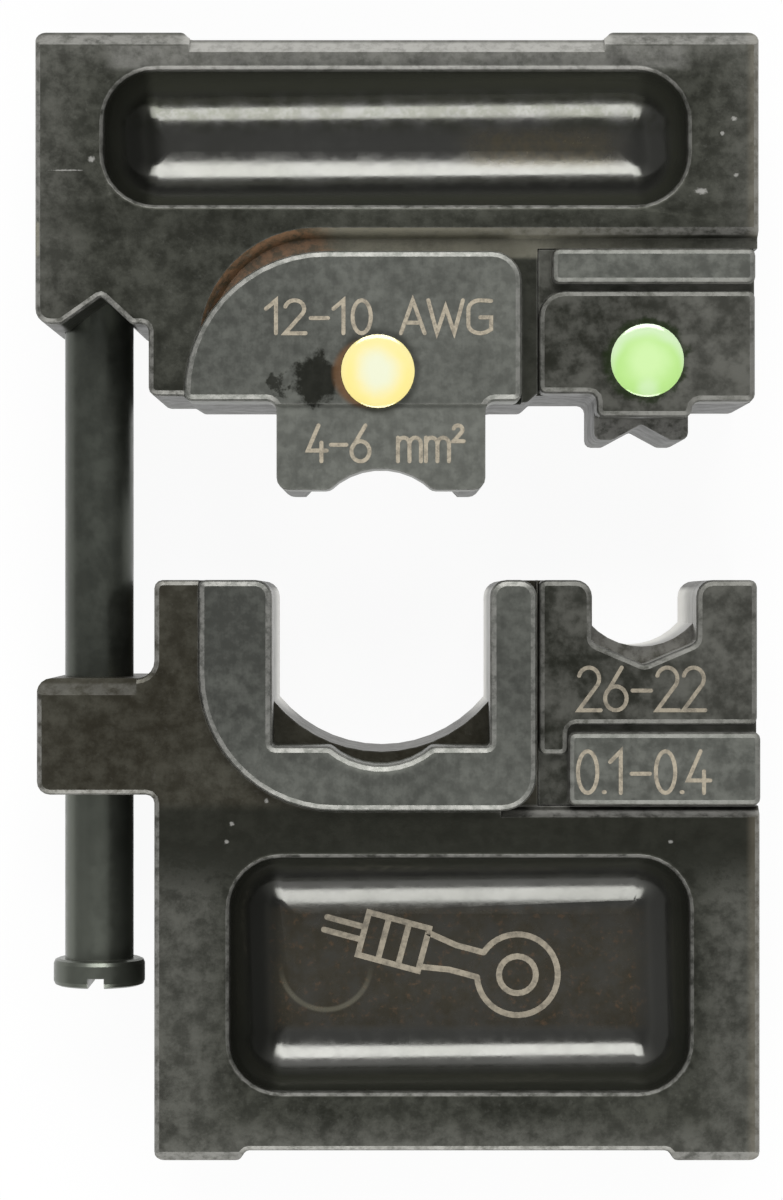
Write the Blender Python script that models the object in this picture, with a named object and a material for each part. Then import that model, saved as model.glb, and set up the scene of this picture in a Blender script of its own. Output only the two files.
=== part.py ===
"""Interchangeable crimping die set: two blackened steel dies that slide together on one guide pin.

The set lies on its back. +Y is the closing direction of the lower die towards the upper die,
+Z points out of the front faces. All sizes below are millimetres; the model is built in metres.
"""
import math

import bmesh
import bpy

MM = 0.001

# Levels, measured up from the back faces
BLOCK_FACE = 10.0           # main front face of both blocks
SHELF = 9.3                 # shelf that is milled round the plates
SEAT_FLOOR = 7.8            # floor of the plate seats, and front of the rear crimping layer
LARGE_FACE = 10.6           # ground face of the two large plates
LARGE_TONGUE_FACE = 10.4    # face of the large tongue, ground a little lower
SMALL_BASE = 9.25           # lowest steps of the two small plates
SMALL_FACE = 9.75           # main face of the two small plates
STRIP_FACE = 9.95           # raised strip on each small plate

# Clearances
SEAT_GAP = 0.04             # plate to seat
DOWEL_GAP = 0.03            # dowel to its holes
PRESS_GAP = 0.02            # guide pin to the bore that holds it
SLIDE_GAP = 0.05            # guide pin to the bore that runs on it
DOT_GAP = 0.02              # enamel to its dimple
PUNCH_CLEARANCE = 0.20      # each side of a tongue in its nest
DIE_OPENING = 7.57          # punch shoulders to nest tops as the set lies open

# Edges
BLOCK_EDGE = 0.22           # rims of the blocks' faces
PLATE_EDGE = 0.26           # rims of the plates
STEP_EDGE = 0.24            # rims of the steps on the small plates
PLATE_CORNER = 0.30         # outer corners of the plates
BLOCK_CORNER = 0.35         # outer corners of the blocks
INSIDE = 0.35               # inner corners
SHELF_SLOPE = 0.40          # run of the sloped wall round a milled shelf

# Nests, from left to right
LARGE_AXIS = -0.72
LARGE_NEST_WIDTH = 9.24
SMALL_NEST_WIDTH = 4.44
LARGE_ARM_LEFT = 3.10       # large nest plate beside its nest
LARGE_ARM_RIGHT = 1.97
PLATE_SPACE = 0.12          # between the two nest plates
SMALL_ARM_LEFT = 2.27       # small nest plate beside its nest
SMALL_ARM_RIGHT = 2.58
LARGE_NEST_LEFT = LARGE_AXIS - LARGE_NEST_WIDTH / 2
LARGE_NEST_RIGHT = LARGE_AXIS + LARGE_NEST_WIDTH / 2
NEST_PLATE_LEFT = LARGE_NEST_LEFT - LARGE_ARM_LEFT
NEST_PLATE_RIGHT = LARGE_NEST_RIGHT + LARGE_ARM_RIGHT
SMALL_PLATE_LEFT = NEST_PLATE_RIGHT + PLATE_SPACE
SMALL_AXIS = SMALL_PLATE_LEFT + SMALL_ARM_LEFT + SMALL_NEST_WIDTH / 2
SMALL_PLATE_RIGHT = SMALL_AXIS + SMALL_NEST_WIDTH / 2 + SMALL_ARM_RIGHT

# Nests, down from their top
NEST_TOP = 0.68
NEST_LIP = 0.70             # corner radius where a nest wall meets the top
LARGE_REAR_WALL = 5.20      # straight part of the rear wall
LARGE_REAR_DEPTH = 7.38     # deepest point of the rear hollow
LARGE_FRONT_DEPTH = 7.04    # flat front bottom
LARGE_FRONT_DIP = 0.80      # extra depth of the hollow in the flat bottom
LARGE_FRONT_DIP_WIDTH = 4.3
LARGE_WEB = 2.74            # large nest plate under its nest
NEST_PLATE_SWEEP = 5.8      # radius of the plate's lower left corner
NEST_PLATE_CORNER = 1.5     # radius of the plate's lower right corner
SMALL_REAR_WALL = 1.85
SMALL_REAR_DEPTH = 2.85
SMALL_FRONT_WALL = 2.65
SMALL_FRONT_DEPTH = 3.60
SMALL_FACE_HEIGHT = 6.16    # main face of the small nest plate
SMALL_HEEL_WIDTH = 1.25     # lower left part of that face
SMALL_HEEL_DROP = 1.28
LOWER_GROOVE = 0.30         # between the face and the strip under it
LOWER_STRIP_HEIGHT = 3.12
LOWER_STRIP_OUT = 0.12      # the strip stands this far out of the plate's side
LOWER_SHELF_BELOW = 0.08    # shelf under the strip
NEST_PLATE_BOTTOM = NEST_TOP - LARGE_FRONT_DEPTH - LARGE_WEB
SMALL_FACE_END = NEST_TOP - SMALL_FACE_HEIGHT
LOWER_STRIP_TOP = SMALL_FACE_END - LOWER_GROOVE
LOWER_STRIP_END = LOWER_STRIP_TOP - LOWER_STRIP_HEIGHT

# Lower block
LOWER_HEIGHT = 24.68
LOWER_WALL_LEFT = 1.91      # block beside the large nest plate
LOWER_WALL_RIGHT = 0.08     # block beside the small nest plate
LOWER_FOOT_RECESS = 0.45    # hollow between the two feet
LOWER_FOOT_WIDTH = 3.6
LOWER_SEAT_CHAMFER = 0.42   # front and back edges of the feet
LOWER_FOOT = NEST_TOP - LOWER_HEIGHT
LOWER_LEFT = NEST_PLATE_LEFT - LOWER_WALL_LEFT
LOWER_RIGHT = SMALL_PLATE_RIGHT + LOWER_WALL_RIGHT

# Guide pin
PIN_OUT = 2.75              # pin axis to the side of the lower block
PIN_Z = BLOCK_FACE / 2
PIN_DIAMETER = 3.0
PIN_HELD = 7.45             # length that is pressed into the boss
PIN_BORE_ROOM = 0.15        # air past the pin's inner end
PIN_END_CHAMFER = 0.3
FLANGE_DIAMETER = 4.0
FLANGE_BELOW_LUG = 7.42
FLANGE_THICKNESS = 1.19
FLANGE_EDGE = 0.22
SLOT_WIDTH = 0.7
SLOT_DEPTH = 0.45
PIN_X = LOWER_LEFT - PIN_OUT

# Lug that runs on the guide pin
LUG_OUT = 2.24              # lug past the pin axis
LUG_DROP = 4.18             # lug under the nest top
LUG_HEIGHT = 4.94
LUG_CORNER = 0.55
LUG_FILLET_TOP = 0.75
LUG_CHAMFER = 0.70
LUG_LEFT = PIN_X - LUG_OUT
LUG_TOP = NEST_TOP - LUG_DROP
LUG_BOTTOM = LUG_TOP - LUG_HEIGHT
FLANGE_TOP = LUG_BOTTOM - FLANGE_BELOW_LUG

# Punches, from left to right
LARGE_SHOULDER_LEFT = 3.89  # large punch plate beside its tongue
LARGE_SHOULDER_RIGHT = 1.53
SMALL_SHOULDER_LEFT = 2.47  # small punch plate beside its tongue
SMALL_SHOULDER_RIGHT = 2.69
LARGE_TONGUE_HALF = LARGE_NEST_WIDTH / 2 - PUNCH_CLEARANCE
SMALL_TONGUE_HALF = SMALL_NEST_WIDTH / 2 - PUNCH_CLEARANCE
LARGE_PUNCH_LEFT = LARGE_AXIS - LARGE_TONGUE_HALF - LARGE_SHOULDER_LEFT
LARGE_PUNCH_RIGHT = LARGE_AXIS + LARGE_TONGUE_HALF + LARGE_SHOULDER_RIGHT
SMALL_PUNCH_LEFT = SMALL_AXIS - SMALL_TONGUE_HALF - SMALL_SHOULDER_LEFT
SMALL_PUNCH_RIGHT = SMALL_AXIS + SMALL_TONGUE_HALF + SMALL_SHOULDER_RIGHT

# Punches, up and down from the large shoulders
LARGE_TONGUE_LENGTH = 3.75
LARGE_TONGUE_STEP = 0.14    # the lower face of the tongue ends this far under the shoulders
LARGE_TONGUE_DIP = 0.90
LARGE_TONGUE_DIP_WIDTH = 4.40
LARGE_TONGUE_ROOT = 0.42
LARGE_TONGUE_CORNER = 0.50
LARGE_REAR_TONGUE_DIP = 1.60
LARGE_REAR_TONGUE_LAND = 1.20
DIP_CORNER = 0.45           # rounded ends of the dips in nest and tongue
LARGE_PUNCH_HEIGHT = 6.35
PUNCH_PLATE_SWEEP = 6.0     # radius of the plate's upper left corner
PUNCH_PLATE_CORNER = 1.25   # radius of its upper right corner
SMALL_SHOULDER_RISE_LEFT = 0.37
SMALL_SHOULDER_RISE_RIGHT = 0.03
SMALL_FRONT_TONGUE = 0.66
SMALL_REAR_TONGUE = 1.55
SMALL_TONGUE_NOTCH = 0.68
SMALL_TONGUE_NOTCH_WIDTH = 2.5
SMALL_PUNCH_HEIGHT = 6.52
UPPER_STRIP_HEIGHT = 1.50
UPPER_GROOVE = 0.28         # between the strip and the face under it
UPPER_STRIP_SETBACK = 0.55  # the strip starts this far in from the plate's side
SMALL_PUNCH_SWEEP = 1.1     # upper left corner of the small punch's face
UPPER_SHELF_ABOVE = 0.47    # shelf over the strip
UPPER_SHELF_IN = 0.98       # shelf starts this far in from the large plate's side
UPPER_SHELF_SWEEP = 4.6
PUNCH_SHOULDER = NEST_TOP + DIE_OPENING
LARGE_TONGUE_END = PUNCH_SHOULDER - LARGE_TONGUE_LENGTH
LARGE_PUNCH_TOP = PUNCH_SHOULDER + LARGE_PUNCH_HEIGHT
SMALL_LEFT_SHOULDER = PUNCH_SHOULDER + SMALL_SHOULDER_RISE_LEFT
SMALL_RIGHT_SHOULDER = PUNCH_SHOULDER + SMALL_SHOULDER_RISE_RIGHT
UPPER_STRIP_TOP = PUNCH_SHOULDER + SMALL_PUNCH_HEIGHT
UPPER_STRIP_END = UPPER_STRIP_TOP - UPPER_STRIP_HEIGHT
UPPER_SHELF_TOP = UPPER_STRIP_TOP + UPPER_SHELF_ABOVE
UPPER_SHELF_LEFT = LARGE_PUNCH_LEFT + UPPER_SHELF_IN

# Upper block
UPPER_HEIGHT = 15.75        # feet over the large shoulders
UPPER_OUT = 2.30            # block past the pin axis
UPPER_WALL_RIGHT = 0.13     # block beside the small punch plate
UPPER_FOOT_RECESS = 0.32    # hollow between the two feet
UPPER_FOOT_WIDTH = 6.25
UPPER_SEAT_CHAMFER = 0.60   # front and back edges of the feet and of the hollow
UPPER_HEEL_RISE = 0.25      # underside of the block left of the large punch
BOSS_RISE = 3.30
BOSS_CLEARANCE = 0.24       # boss to the side of the lower block
BOSS_CORNER = 0.65
BOSS_NOTCH_LEFT = 1.20      # notch under the boss, from the pin axis to its sides and its top
BOSS_NOTCH_RIGHT = 1.80
BOSS_NOTCH_TOP = 0.50
BOSS_NOTCH_RISE = 1.20
REAR_SLOPE = 0.3            # run of the small slopes between the rear shoulders
UPPER_FOOT = PUNCH_SHOULDER + UPPER_HEIGHT
UPPER_LEFT = PIN_X - UPPER_OUT
UPPER_RIGHT = SMALL_PUNCH_RIGHT + UPPER_WALL_RIGHT
UPPER_HEEL = PUNCH_SHOULDER + UPPER_HEEL_RISE
BOSS_BOTTOM = PUNCH_SHOULDER + BOSS_RISE
BOSS_RIGHT = LOWER_LEFT - BOSS_CLEARANCE
PIN_INNER_END = BOSS_BOTTOM + PIN_HELD

# Feet of both blocks
FOOT_CORNER = 0.40
FOOT_STEP_CORNER = 0.25
FOOT_STEP_RUN = 0.30

# Pockets in both faces of a block, with a round cove at their foot; distances to the block's edges
UPPER_POCKET_LEFT = 2.90
UPPER_POCKET_RIGHT = 3.02
UPPER_POCKET_FOOT = 1.67
UPPER_POCKET_SHELF = 1.38
LOWER_POCKET_LEFT = 3.20
LOWER_POCKET_RIGHT = 2.97
LOWER_POCKET_FOOT = 2.94
LOWER_POCKET_SHELF = 2.14
POCKET_CORNER = 2.2
POCKET_INNER_CORNER = 0.15  # where two coves meet at the floor
POCKET_COVE = 2.62
POCKET_DEPTH = 2.92
POCKET_LIP = 0.28

# Size dots, from the crimping axis and up from the large shoulders
DOT_DIAMETER = 3.15
DOT_DEPTH = 0.35            # depth of the dimple
DOT_DOME = 0.12             # height of the enamel over the face
YELLOW_DOT_ASIDE = -0.13
YELLOW_DOT_RISE = 1.25
GREEN_DOT_ASIDE = 0.12
GREEN_DOT_RISE = 1.77
YELLOW_DOT = (LARGE_AXIS + YELLOW_DOT_ASIDE, PUNCH_SHOULDER + YELLOW_DOT_RISE)
GREEN_DOT = (SMALL_AXIS + GREEN_DOT_ASIDE, PUNCH_SHOULDER + GREEN_DOT_RISE)

# Dowels, two in each plate
DOWEL_DIAMETER = 1.0
DOWEL_CHAMFER = 0.12
DOWEL_IN_BLOCK = 1.6
DOWEL_IN_PLATE = 0.9
DOWEL_END_ROOM = 0.05
NEST_DOWEL_DROP = 3.75      # under the nest top
LARGE_WEB_DOWEL_IN = 0.90   # inwards from the nest's right wall
PUNCH_DOWEL_RISE = 2.75     # over the large shoulders
LARGE_PUNCH_DOWEL_IN = 2.3  # inwards from the plate's sides
SMALL_PUNCH_DOWEL_IN = 1.45
LARGE_NEST_DOWELS = (
    (NEST_PLATE_LEFT + LARGE_ARM_LEFT / 2, NEST_TOP - NEST_DOWEL_DROP),
    (LARGE_NEST_RIGHT - LARGE_WEB_DOWEL_IN, NEST_PLATE_BOTTOM + LARGE_WEB / 2),
)
SMALL_NEST_DOWELS = (
    (SMALL_PLATE_LEFT + SMALL_ARM_LEFT / 2, NEST_TOP - NEST_DOWEL_DROP),
    (SMALL_PLATE_RIGHT - SMALL_ARM_RIGHT / 2, NEST_TOP - NEST_DOWEL_DROP),
)
LARGE_PUNCH_DOWELS = (
    (LARGE_PUNCH_LEFT + LARGE_PUNCH_DOWEL_IN, PUNCH_SHOULDER + PUNCH_DOWEL_RISE),
    (LARGE_PUNCH_RIGHT - LARGE_PUNCH_DOWEL_IN, PUNCH_SHOULDER + PUNCH_DOWEL_RISE),
)
SMALL_PUNCH_DOWELS = (
    (SMALL_PUNCH_LEFT + SMALL_PUNCH_DOWEL_IN, PUNCH_SHOULDER + PUNCH_DOWEL_RISE),
    (SMALL_PUNCH_RIGHT - SMALL_PUNCH_DOWEL_IN, PUNCH_SHOULDER + PUNCH_DOWEL_RISE),
)

FACET_SAG = 0.012           # largest distance between an arc and its facets
REACH = 3.0                 # how far an open-sided cutter runs past the block


# Outlines


def rounded(points, steps=None):
    """Turn corners (x, y) or (x, y, radius) into a closed outline with arcs at the corners."""
    outline = []
    for index, corner in enumerate(points):
        x, y = corner[:2]
        radius = corner[2] if len(corner) > 2 else 0.0
        if not radius:
            outline.append((x, y))
            continue
        before = points[index - 1]
        after = points[(index + 1) % len(points)]
        outline.extend(corner_arc(before[:2], (x, y), after[:2], radius, steps))
    return outline


def corner_arc(before, corner, after, radius, steps=None):
    """Points of the arc of the given radius that is tangent to both sides of a corner."""
    into = unit(before, corner)
    out = unit(after, corner)
    turn = math.pi - math.acos(max(-1.0, min(1.0, into[0] * out[0] + into[1] * out[1])))
    reach = radius * math.tan(turn / 2)
    start = (corner[0] + into[0] * reach, corner[1] + into[1] * reach)
    end = (corner[0] + out[0] * reach, corner[1] + out[1] * reach)
    middle = (into[0] + out[0], into[1] + out[1])
    length = math.hypot(*middle)
    offset = radius / math.cos(turn / 2)
    centre = (corner[0] + middle[0] / length * offset, corner[1] + middle[1] / length * offset)
    first = math.atan2(start[1] - centre[1], start[0] - centre[0])
    last = math.atan2(end[1] - centre[1], end[0] - centre[0])
    sweep = (last - first + math.pi) % (2 * math.pi) - math.pi
    steps = steps or facets(radius, abs(sweep))
    return [
        (
            centre[0] + radius * math.cos(first + sweep * step / steps),
            centre[1] + radius * math.sin(first + sweep * step / steps),
        )
        for step in range(steps + 1)
    ]


def unit(target, origin):
    dx = target[0] - origin[0]
    dy = target[1] - origin[1]
    length = math.hypot(dx, dy)
    return dx / length, dy / length


def facets(radius, sweep):
    """How many facets keep an arc within its largest sag."""
    widest = 2 * math.acos(max(0.0, 1 - FACET_SAG / radius))
    return max(2, math.ceil(sweep / widest - 1e-6))


def bow(middle_x, width, edge_y, rise):
    """Arc from left to right over the given width, whose middle lies at edge_y + rise."""
    half = width / 2
    radius = (half * half + rise * rise) / (2 * abs(rise))
    spread = math.asin(half / radius)
    side = math.copysign(1.0, rise)
    centre_y = edge_y + rise - side * radius
    steps = facets(radius, 2 * spread)
    angles = [spread * (2 * step / steps - 1) for step in range(steps + 1)]
    return [
        (middle_x + radius * math.sin(angle), centre_y + side * radius * math.cos(angle))
        for angle in angles
    ]


def soft_bow(middle_x, width, edge_y, rise):
    """A bow whose two ends run smoothly into the flats beside it."""
    points = bow(middle_x, width, edge_y, rise)
    reach = min(DIP_CORNER, math.dist(points[0], points[1]))
    return [(*points[0], reach), *points[1:-1], (*points[-1], reach)]


def nest_lips(axis, width, bottom):
    """A nest's profile: its left lip, its bottom from left to right, and its right lip."""
    left = axis - width / 2
    right = axis + width / 2
    return [(left, NEST_TOP, NEST_LIP), *bottom, (right, NEST_TOP, NEST_LIP)]


def large_nest_front():
    flat = NEST_TOP - LARGE_FRONT_DEPTH
    bottom = [
        (LARGE_NEST_LEFT, flat, INSIDE / 2),
        *soft_bow(LARGE_AXIS, LARGE_FRONT_DIP_WIDTH, flat, -LARGE_FRONT_DIP),
        (LARGE_NEST_RIGHT, flat, INSIDE / 2),
    ]
    return nest_lips(LARGE_AXIS, LARGE_NEST_WIDTH, bottom)


def large_nest_rear():
    rise = LARGE_REAR_WALL - LARGE_REAR_DEPTH
    bottom = bow(LARGE_AXIS, LARGE_NEST_WIDTH, NEST_TOP - LARGE_REAR_WALL, rise)
    return nest_lips(LARGE_AXIS, LARGE_NEST_WIDTH, bottom)


def small_nest_front():
    half = SMALL_NEST_WIDTH / 2
    bottom = [
        (SMALL_AXIS - half, NEST_TOP - SMALL_FRONT_WALL, INSIDE),
        (SMALL_AXIS, NEST_TOP - SMALL_FRONT_DEPTH, INSIDE),
        (SMALL_AXIS + half, NEST_TOP - SMALL_FRONT_WALL, INSIDE),
    ]
    return nest_lips(SMALL_AXIS, SMALL_NEST_WIDTH, bottom)


def small_nest_rear():
    rise = SMALL_REAR_WALL - SMALL_REAR_DEPTH
    bottom = bow(SMALL_AXIS, SMALL_NEST_WIDTH, NEST_TOP - SMALL_REAR_WALL, rise)
    return nest_lips(SMALL_AXIS, SMALL_NEST_WIDTH, bottom)


def large_tongue(hollow):
    """The large tongue from its right root to its left root, with a hollow in its end."""
    right = LARGE_AXIS + LARGE_TONGUE_HALF
    left = LARGE_AXIS - LARGE_TONGUE_HALF
    return [
        (right, PUNCH_SHOULDER, LARGE_TONGUE_ROOT),
        (right, LARGE_TONGUE_END, LARGE_TONGUE_CORNER),
        *reversed(hollow),
        (left, LARGE_TONGUE_END, LARGE_TONGUE_CORNER),
        (left, PUNCH_SHOULDER, LARGE_TONGUE_ROOT),
    ]


def large_front_hollow():
    return soft_bow(LARGE_AXIS, LARGE_TONGUE_DIP_WIDTH, LARGE_TONGUE_END, LARGE_TONGUE_DIP)


def large_rear_hollow():
    width = LARGE_NEST_WIDTH - 2 * LARGE_REAR_TONGUE_LAND
    return bow(LARGE_AXIS, width, LARGE_TONGUE_END, LARGE_REAR_TONGUE_DIP)


def small_tongue(length, notch):
    """The small tongue from its right root to its left root, with or without a V notch."""
    right = SMALL_AXIS + SMALL_TONGUE_HALF
    left = SMALL_AXIS - SMALL_TONGUE_HALF
    end = SMALL_RIGHT_SHOULDER - length
    points = [(right, SMALL_RIGHT_SHOULDER, INSIDE), (right, end, PLATE_CORNER)]
    if notch:
        half = SMALL_TONGUE_NOTCH_WIDTH / 2
        points += [
            (SMALL_AXIS + half, end, INSIDE),
            (SMALL_AXIS, end + notch, 0.2),
            (SMALL_AXIS - half, end, INSIDE),
        ]
    points += [(left, end, PLATE_CORNER), (left, SMALL_LEFT_SHOULDER, INSIDE)]
    return points


def feet(left, right, end, recess, width):
    """The seat side of a block from left to right: two feet with a shallow recess between."""
    return [
        (left, end, FOOT_CORNER),
        (left + width, end, FOOT_STEP_CORNER),
        (left + width + FOOT_STEP_RUN, recess, FOOT_STEP_CORNER),
        (right - width - FOOT_STEP_RUN, recess, FOOT_STEP_CORNER),
        (right - width, end, FOOT_STEP_CORNER),
        (right, end, FOOT_CORNER),
    ]


def lower_block_outline():
    """The rear outline of the lower block, anticlockwise from the lower left foot."""
    recess = LOWER_FOOT + LOWER_FOOT_RECESS
    return [
        *feet(LOWER_LEFT, LOWER_RIGHT, LOWER_FOOT, recess, LOWER_FOOT_WIDTH),
        (LOWER_RIGHT, NEST_TOP, BLOCK_CORNER),
        *reversed(small_nest_rear()),
        *reversed(large_nest_rear()),
        (LOWER_LEFT, NEST_TOP, BLOCK_CORNER),
        (LOWER_LEFT, LUG_TOP, LUG_FILLET_TOP),
        (LUG_LEFT, LUG_TOP, LUG_CORNER),
        (LUG_LEFT, LUG_BOTTOM, LUG_CORNER),
        (LOWER_LEFT, LUG_BOTTOM, INSIDE),
    ]


def upper_block_outline():
    """The rear outline of the upper block, clockwise from the upper left foot."""
    recess = UPPER_FOOT - UPPER_FOOT_RECESS
    groove = (LARGE_PUNCH_RIGHT + SMALL_PUNCH_LEFT) / 2
    return [
        *feet(UPPER_LEFT, UPPER_RIGHT, UPPER_FOOT, recess, UPPER_FOOT_WIDTH),
        (UPPER_RIGHT, SMALL_RIGHT_SHOULDER, BLOCK_CORNER),
        *small_tongue(SMALL_REAR_TONGUE, SMALL_TONGUE_NOTCH),
        (groove + REAR_SLOPE, SMALL_LEFT_SHOULDER, REAR_SLOPE / 2),
        (groove - REAR_SLOPE / 3, PUNCH_SHOULDER, REAR_SLOPE),
        *large_tongue(large_rear_hollow()),
        (LARGE_PUNCH_LEFT + REAR_SLOPE, PUNCH_SHOULDER, REAR_SLOPE),
        (LARGE_PUNCH_LEFT - REAR_SLOPE / 3, UPPER_HEEL, REAR_SLOPE / 2),
        (BOSS_RIGHT, UPPER_HEEL, INSIDE),
        (BOSS_RIGHT, BOSS_BOTTOM, PLATE_CORNER),
        (PIN_X + BOSS_NOTCH_RIGHT, BOSS_BOTTOM, PLATE_CORNER),
        (PIN_X + BOSS_NOTCH_TOP, BOSS_BOTTOM + BOSS_NOTCH_RISE, INSIDE / 2),
        (PIN_X - BOSS_NOTCH_LEFT, BOSS_BOTTOM, PLATE_CORNER),
        (UPPER_LEFT, BOSS_BOTTOM, BOSS_CORNER),
    ]


def large_nest_outside(grow):
    """Outer side of the large nest plate, from its lower right to its lower left corner."""
    bottom = NEST_PLATE_BOTTOM - grow
    return [
        (NEST_PLATE_RIGHT + grow, bottom, NEST_PLATE_CORNER + grow),
        (NEST_PLATE_LEFT - grow, bottom, NEST_PLATE_SWEEP + grow),
    ]


def large_punch_outside(grow):
    """Outer side of the large punch plate, from its upper left to its upper right corner."""
    top = LARGE_PUNCH_TOP + grow
    return [
        (LARGE_PUNCH_LEFT - grow, top, PUNCH_PLATE_SWEEP + grow),
        (LARGE_PUNCH_RIGHT + grow, top, PUNCH_PLATE_CORNER + grow),
    ]


def box(left, right, low, high, radius=0.0):
    return [(left, low, radius), (right, low, radius), (right, high, radius), (left, high, radius)]


# Solids


def new_object(name, bm, material=None):
    """Close a bmesh into a named object, with its faces pointing out."""
    bmesh.ops.recalc_face_normals(bm, faces=bm.faces)
    mesh = bpy.data.meshes.new(name)
    bm.to_mesh(mesh)
    bm.free()
    mesh.shade_smooth()
    mesh.set_sharp_from_angle(angle=math.radians(35))
    thing = bpy.data.objects.new(name, mesh)
    bpy.context.scene.collection.objects.link(thing)
    if material:
        mesh.materials.append(material)
    return thing


def prism(name, outline, low, high, low_edge=0.0, high_edge=0.0, material=None):
    """Extrude an outline between two levels, with rounded rims where an edge is given."""
    bm = bmesh.new()
    floor = [bm.verts.new((x * MM, y * MM, low * MM)) for x, y in outline]
    face = bm.faces.new(floor)
    grown = bmesh.ops.extrude_face_region(bm, geom=[face])["geom"]
    top = [item for item in grown if isinstance(item, bmesh.types.BMVert)]
    bmesh.ops.translate(bm, verts=top, vec=(0, 0, (high - low) * MM))
    bmesh.ops.recalc_face_normals(bm, faces=bm.faces)
    for level, edge in ((low, low_edge), (high, high_edge)):
        if edge:
            rim = [item for item in bm.edges if on_level(item, level)]
            bmesh.ops.bevel(bm, geom=rim, offset=edge * MM, segments=2, profile=0.5, affect="EDGES")
    return new_object(name, bm, material)


def on_level(edge, level):
    return all(abs(vert.co.z - level * MM) < 1e-7 for vert in edge.verts)


def turned(name, profile, place, material=None, sides=24):
    """Turn (radius, z) points round an upright axis through a place."""
    x, y = place
    levels = [(ring_points(x, y, radius, sides), z) for radius, z in profile]
    return stacked(name, levels, material)


def ring_points(x, y, radius, sides):
    angles = [2 * math.pi * side / sides for side in range(sides)]
    return [(x + radius * math.cos(angle), y + radius * math.sin(angle)) for angle in angles]


def turned_along(name, profile, material=None, sides=48):
    """Turn (radius, y) points round the guide pin's axis."""
    levels = [(ring_points(PIN_X, PIN_Z, radius, sides), y) for radius, y in profile]
    return stacked(name, levels, material, along_y=True)


def stacked(name, levels, material=None, along_y=False):
    """Skin a stack of equal outlines, each with its level along Z or along Y, and cap the ends."""
    bm = bmesh.new()
    rings = []
    for outline, level in levels:
        if along_y:
            rings.append([bm.verts.new((x * MM, level * MM, z * MM)) for x, z in outline])
        else:
            rings.append([bm.verts.new((x * MM, y * MM, level * MM)) for x, y in outline])
    bm.faces.new(rings[0])
    bm.faces.new(list(reversed(rings[-1])))
    for lower, upper in zip(rings, rings[1:]):
        count = len(lower)
        for index in range(count):
            follow = (index + 1) % count
            bm.faces.new((lower[index], lower[follow], upper[follow], upper[index]))
    return new_object(name, bm, material)


def combine(target, tool, operation):
    """Boolean a tool, which isn't a piece of the die set, into its target."""
    tool.hide_render = True
    tool.display_type = "WIRE"
    change = target.modifiers.new(tool.name, "BOOLEAN")
    change.operation = operation
    change.solver = "EXACT"
    change.object = tool


def cut(target, tool):
    combine(target, tool, "DIFFERENCE")


def join(target, tool):
    combine(target, tool, "UNION")


def material(name, colour, roughness, metallic):
    """A Principled material with the piece's colour, roughness and metallic value."""
    made = bpy.data.materials.new(name)
    made.use_nodes = True
    surface = made.node_tree.nodes["Principled BSDF"]
    surface.inputs["Base Color"].default_value = (*colour, 1.0)
    surface.inputs["Roughness"].default_value = roughness
    surface.inputs["Metallic"].default_value = metallic
    made.diffuse_color = (*colour, 1.0)
    return made


# Cuts that both blocks have


def cut_pockets(block, label, left, right, low, high):
    """The same pocket in the front and the back of a block."""
    for side, face, outward in (("front", BLOCK_FACE, 1), ("back", 0.0, -1)):
        levels = pocket_levels(left, right, low, high)
        stack = [(outline, face + outward * rise) for outline, rise in levels]
        cut(block, stacked(f"{label}_{side}_pocket", stack))


def pocket_levels(left, right, low, high):
    """Outlines of a pocket with their rise over the face, from the outside in."""
    lip_steps = 3
    cove_steps = 7
    room = min(high - low, right - left)
    corner = min(POCKET_CORNER, 0.45 * room)
    cove = min(POCKET_COVE, 0.46 * room, POCKET_DEPTH - POCKET_LIP)
    inner_corner = min(POCKET_INNER_CORNER, 0.4 * (room - 2 * cove))
    profile = [(POCKET_LIP * 1.2, REACH), (POCKET_LIP * 1.2, 0.02)]
    for step in range(1, lip_steps + 1):
        angle = math.pi / 2 * step / lip_steps
        profile.append((POCKET_LIP * (1 - math.sin(angle)), -POCKET_LIP * (1 - math.cos(angle))))
    start = POCKET_DEPTH - cove
    for step in range(cove_steps + 1):
        angle = math.pi / 2 * step / cove_steps
        profile.append((-cove * (1 - math.cos(angle)), -start - cove * math.sin(angle)))
    steps = facets(corner, math.pi / 2)
    levels = []
    for out, rise in profile:
        radius = max(inner_corner, corner + out)
        ring = rounded(box(left - out, right + out, low - out, high + out, radius), steps)
        levels.append((ring, rise))
    return levels


def cut_shelf(block, name, corners):
    """A milled shelf with a sloped wall; corners gives its outline for a growth."""
    rise = BLOCK_FACE - SHELF
    levels = [
        (rounded(corners(SHELF_SLOPE * share), steps=12), SHELF + rise * share)
        for share in (0.0, 2.0)
    ]
    cut(block, stacked(name, levels))


def edge_wedge(name, left, right, edge_y, outward, size, side="front"):
    """A wedge that chamfers the straight edge between a face and a wall that looks along Y."""
    face, up = (BLOCK_FACE, 1) if side == "front" else (0.0, -1)
    section = (
        (edge_y - outward * (size + REACH), face + up * REACH),
        (edge_y + outward * REACH, face - up * (size + REACH)),
        (edge_y + outward * REACH, face + up * REACH),
    )
    bm = bmesh.new()
    corners = [bm.verts.new((left * MM, y * MM, z * MM)) for y, z in section]
    grown = bmesh.ops.extrude_face_region(bm, geom=[bm.faces.new(corners)])["geom"]
    moved = [item for item in grown if isinstance(item, bmesh.types.BMVert)]
    bmesh.ops.translate(bm, verts=moved, vec=((right - left) * MM, 0, 0))
    return new_object(name, bm)


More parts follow.
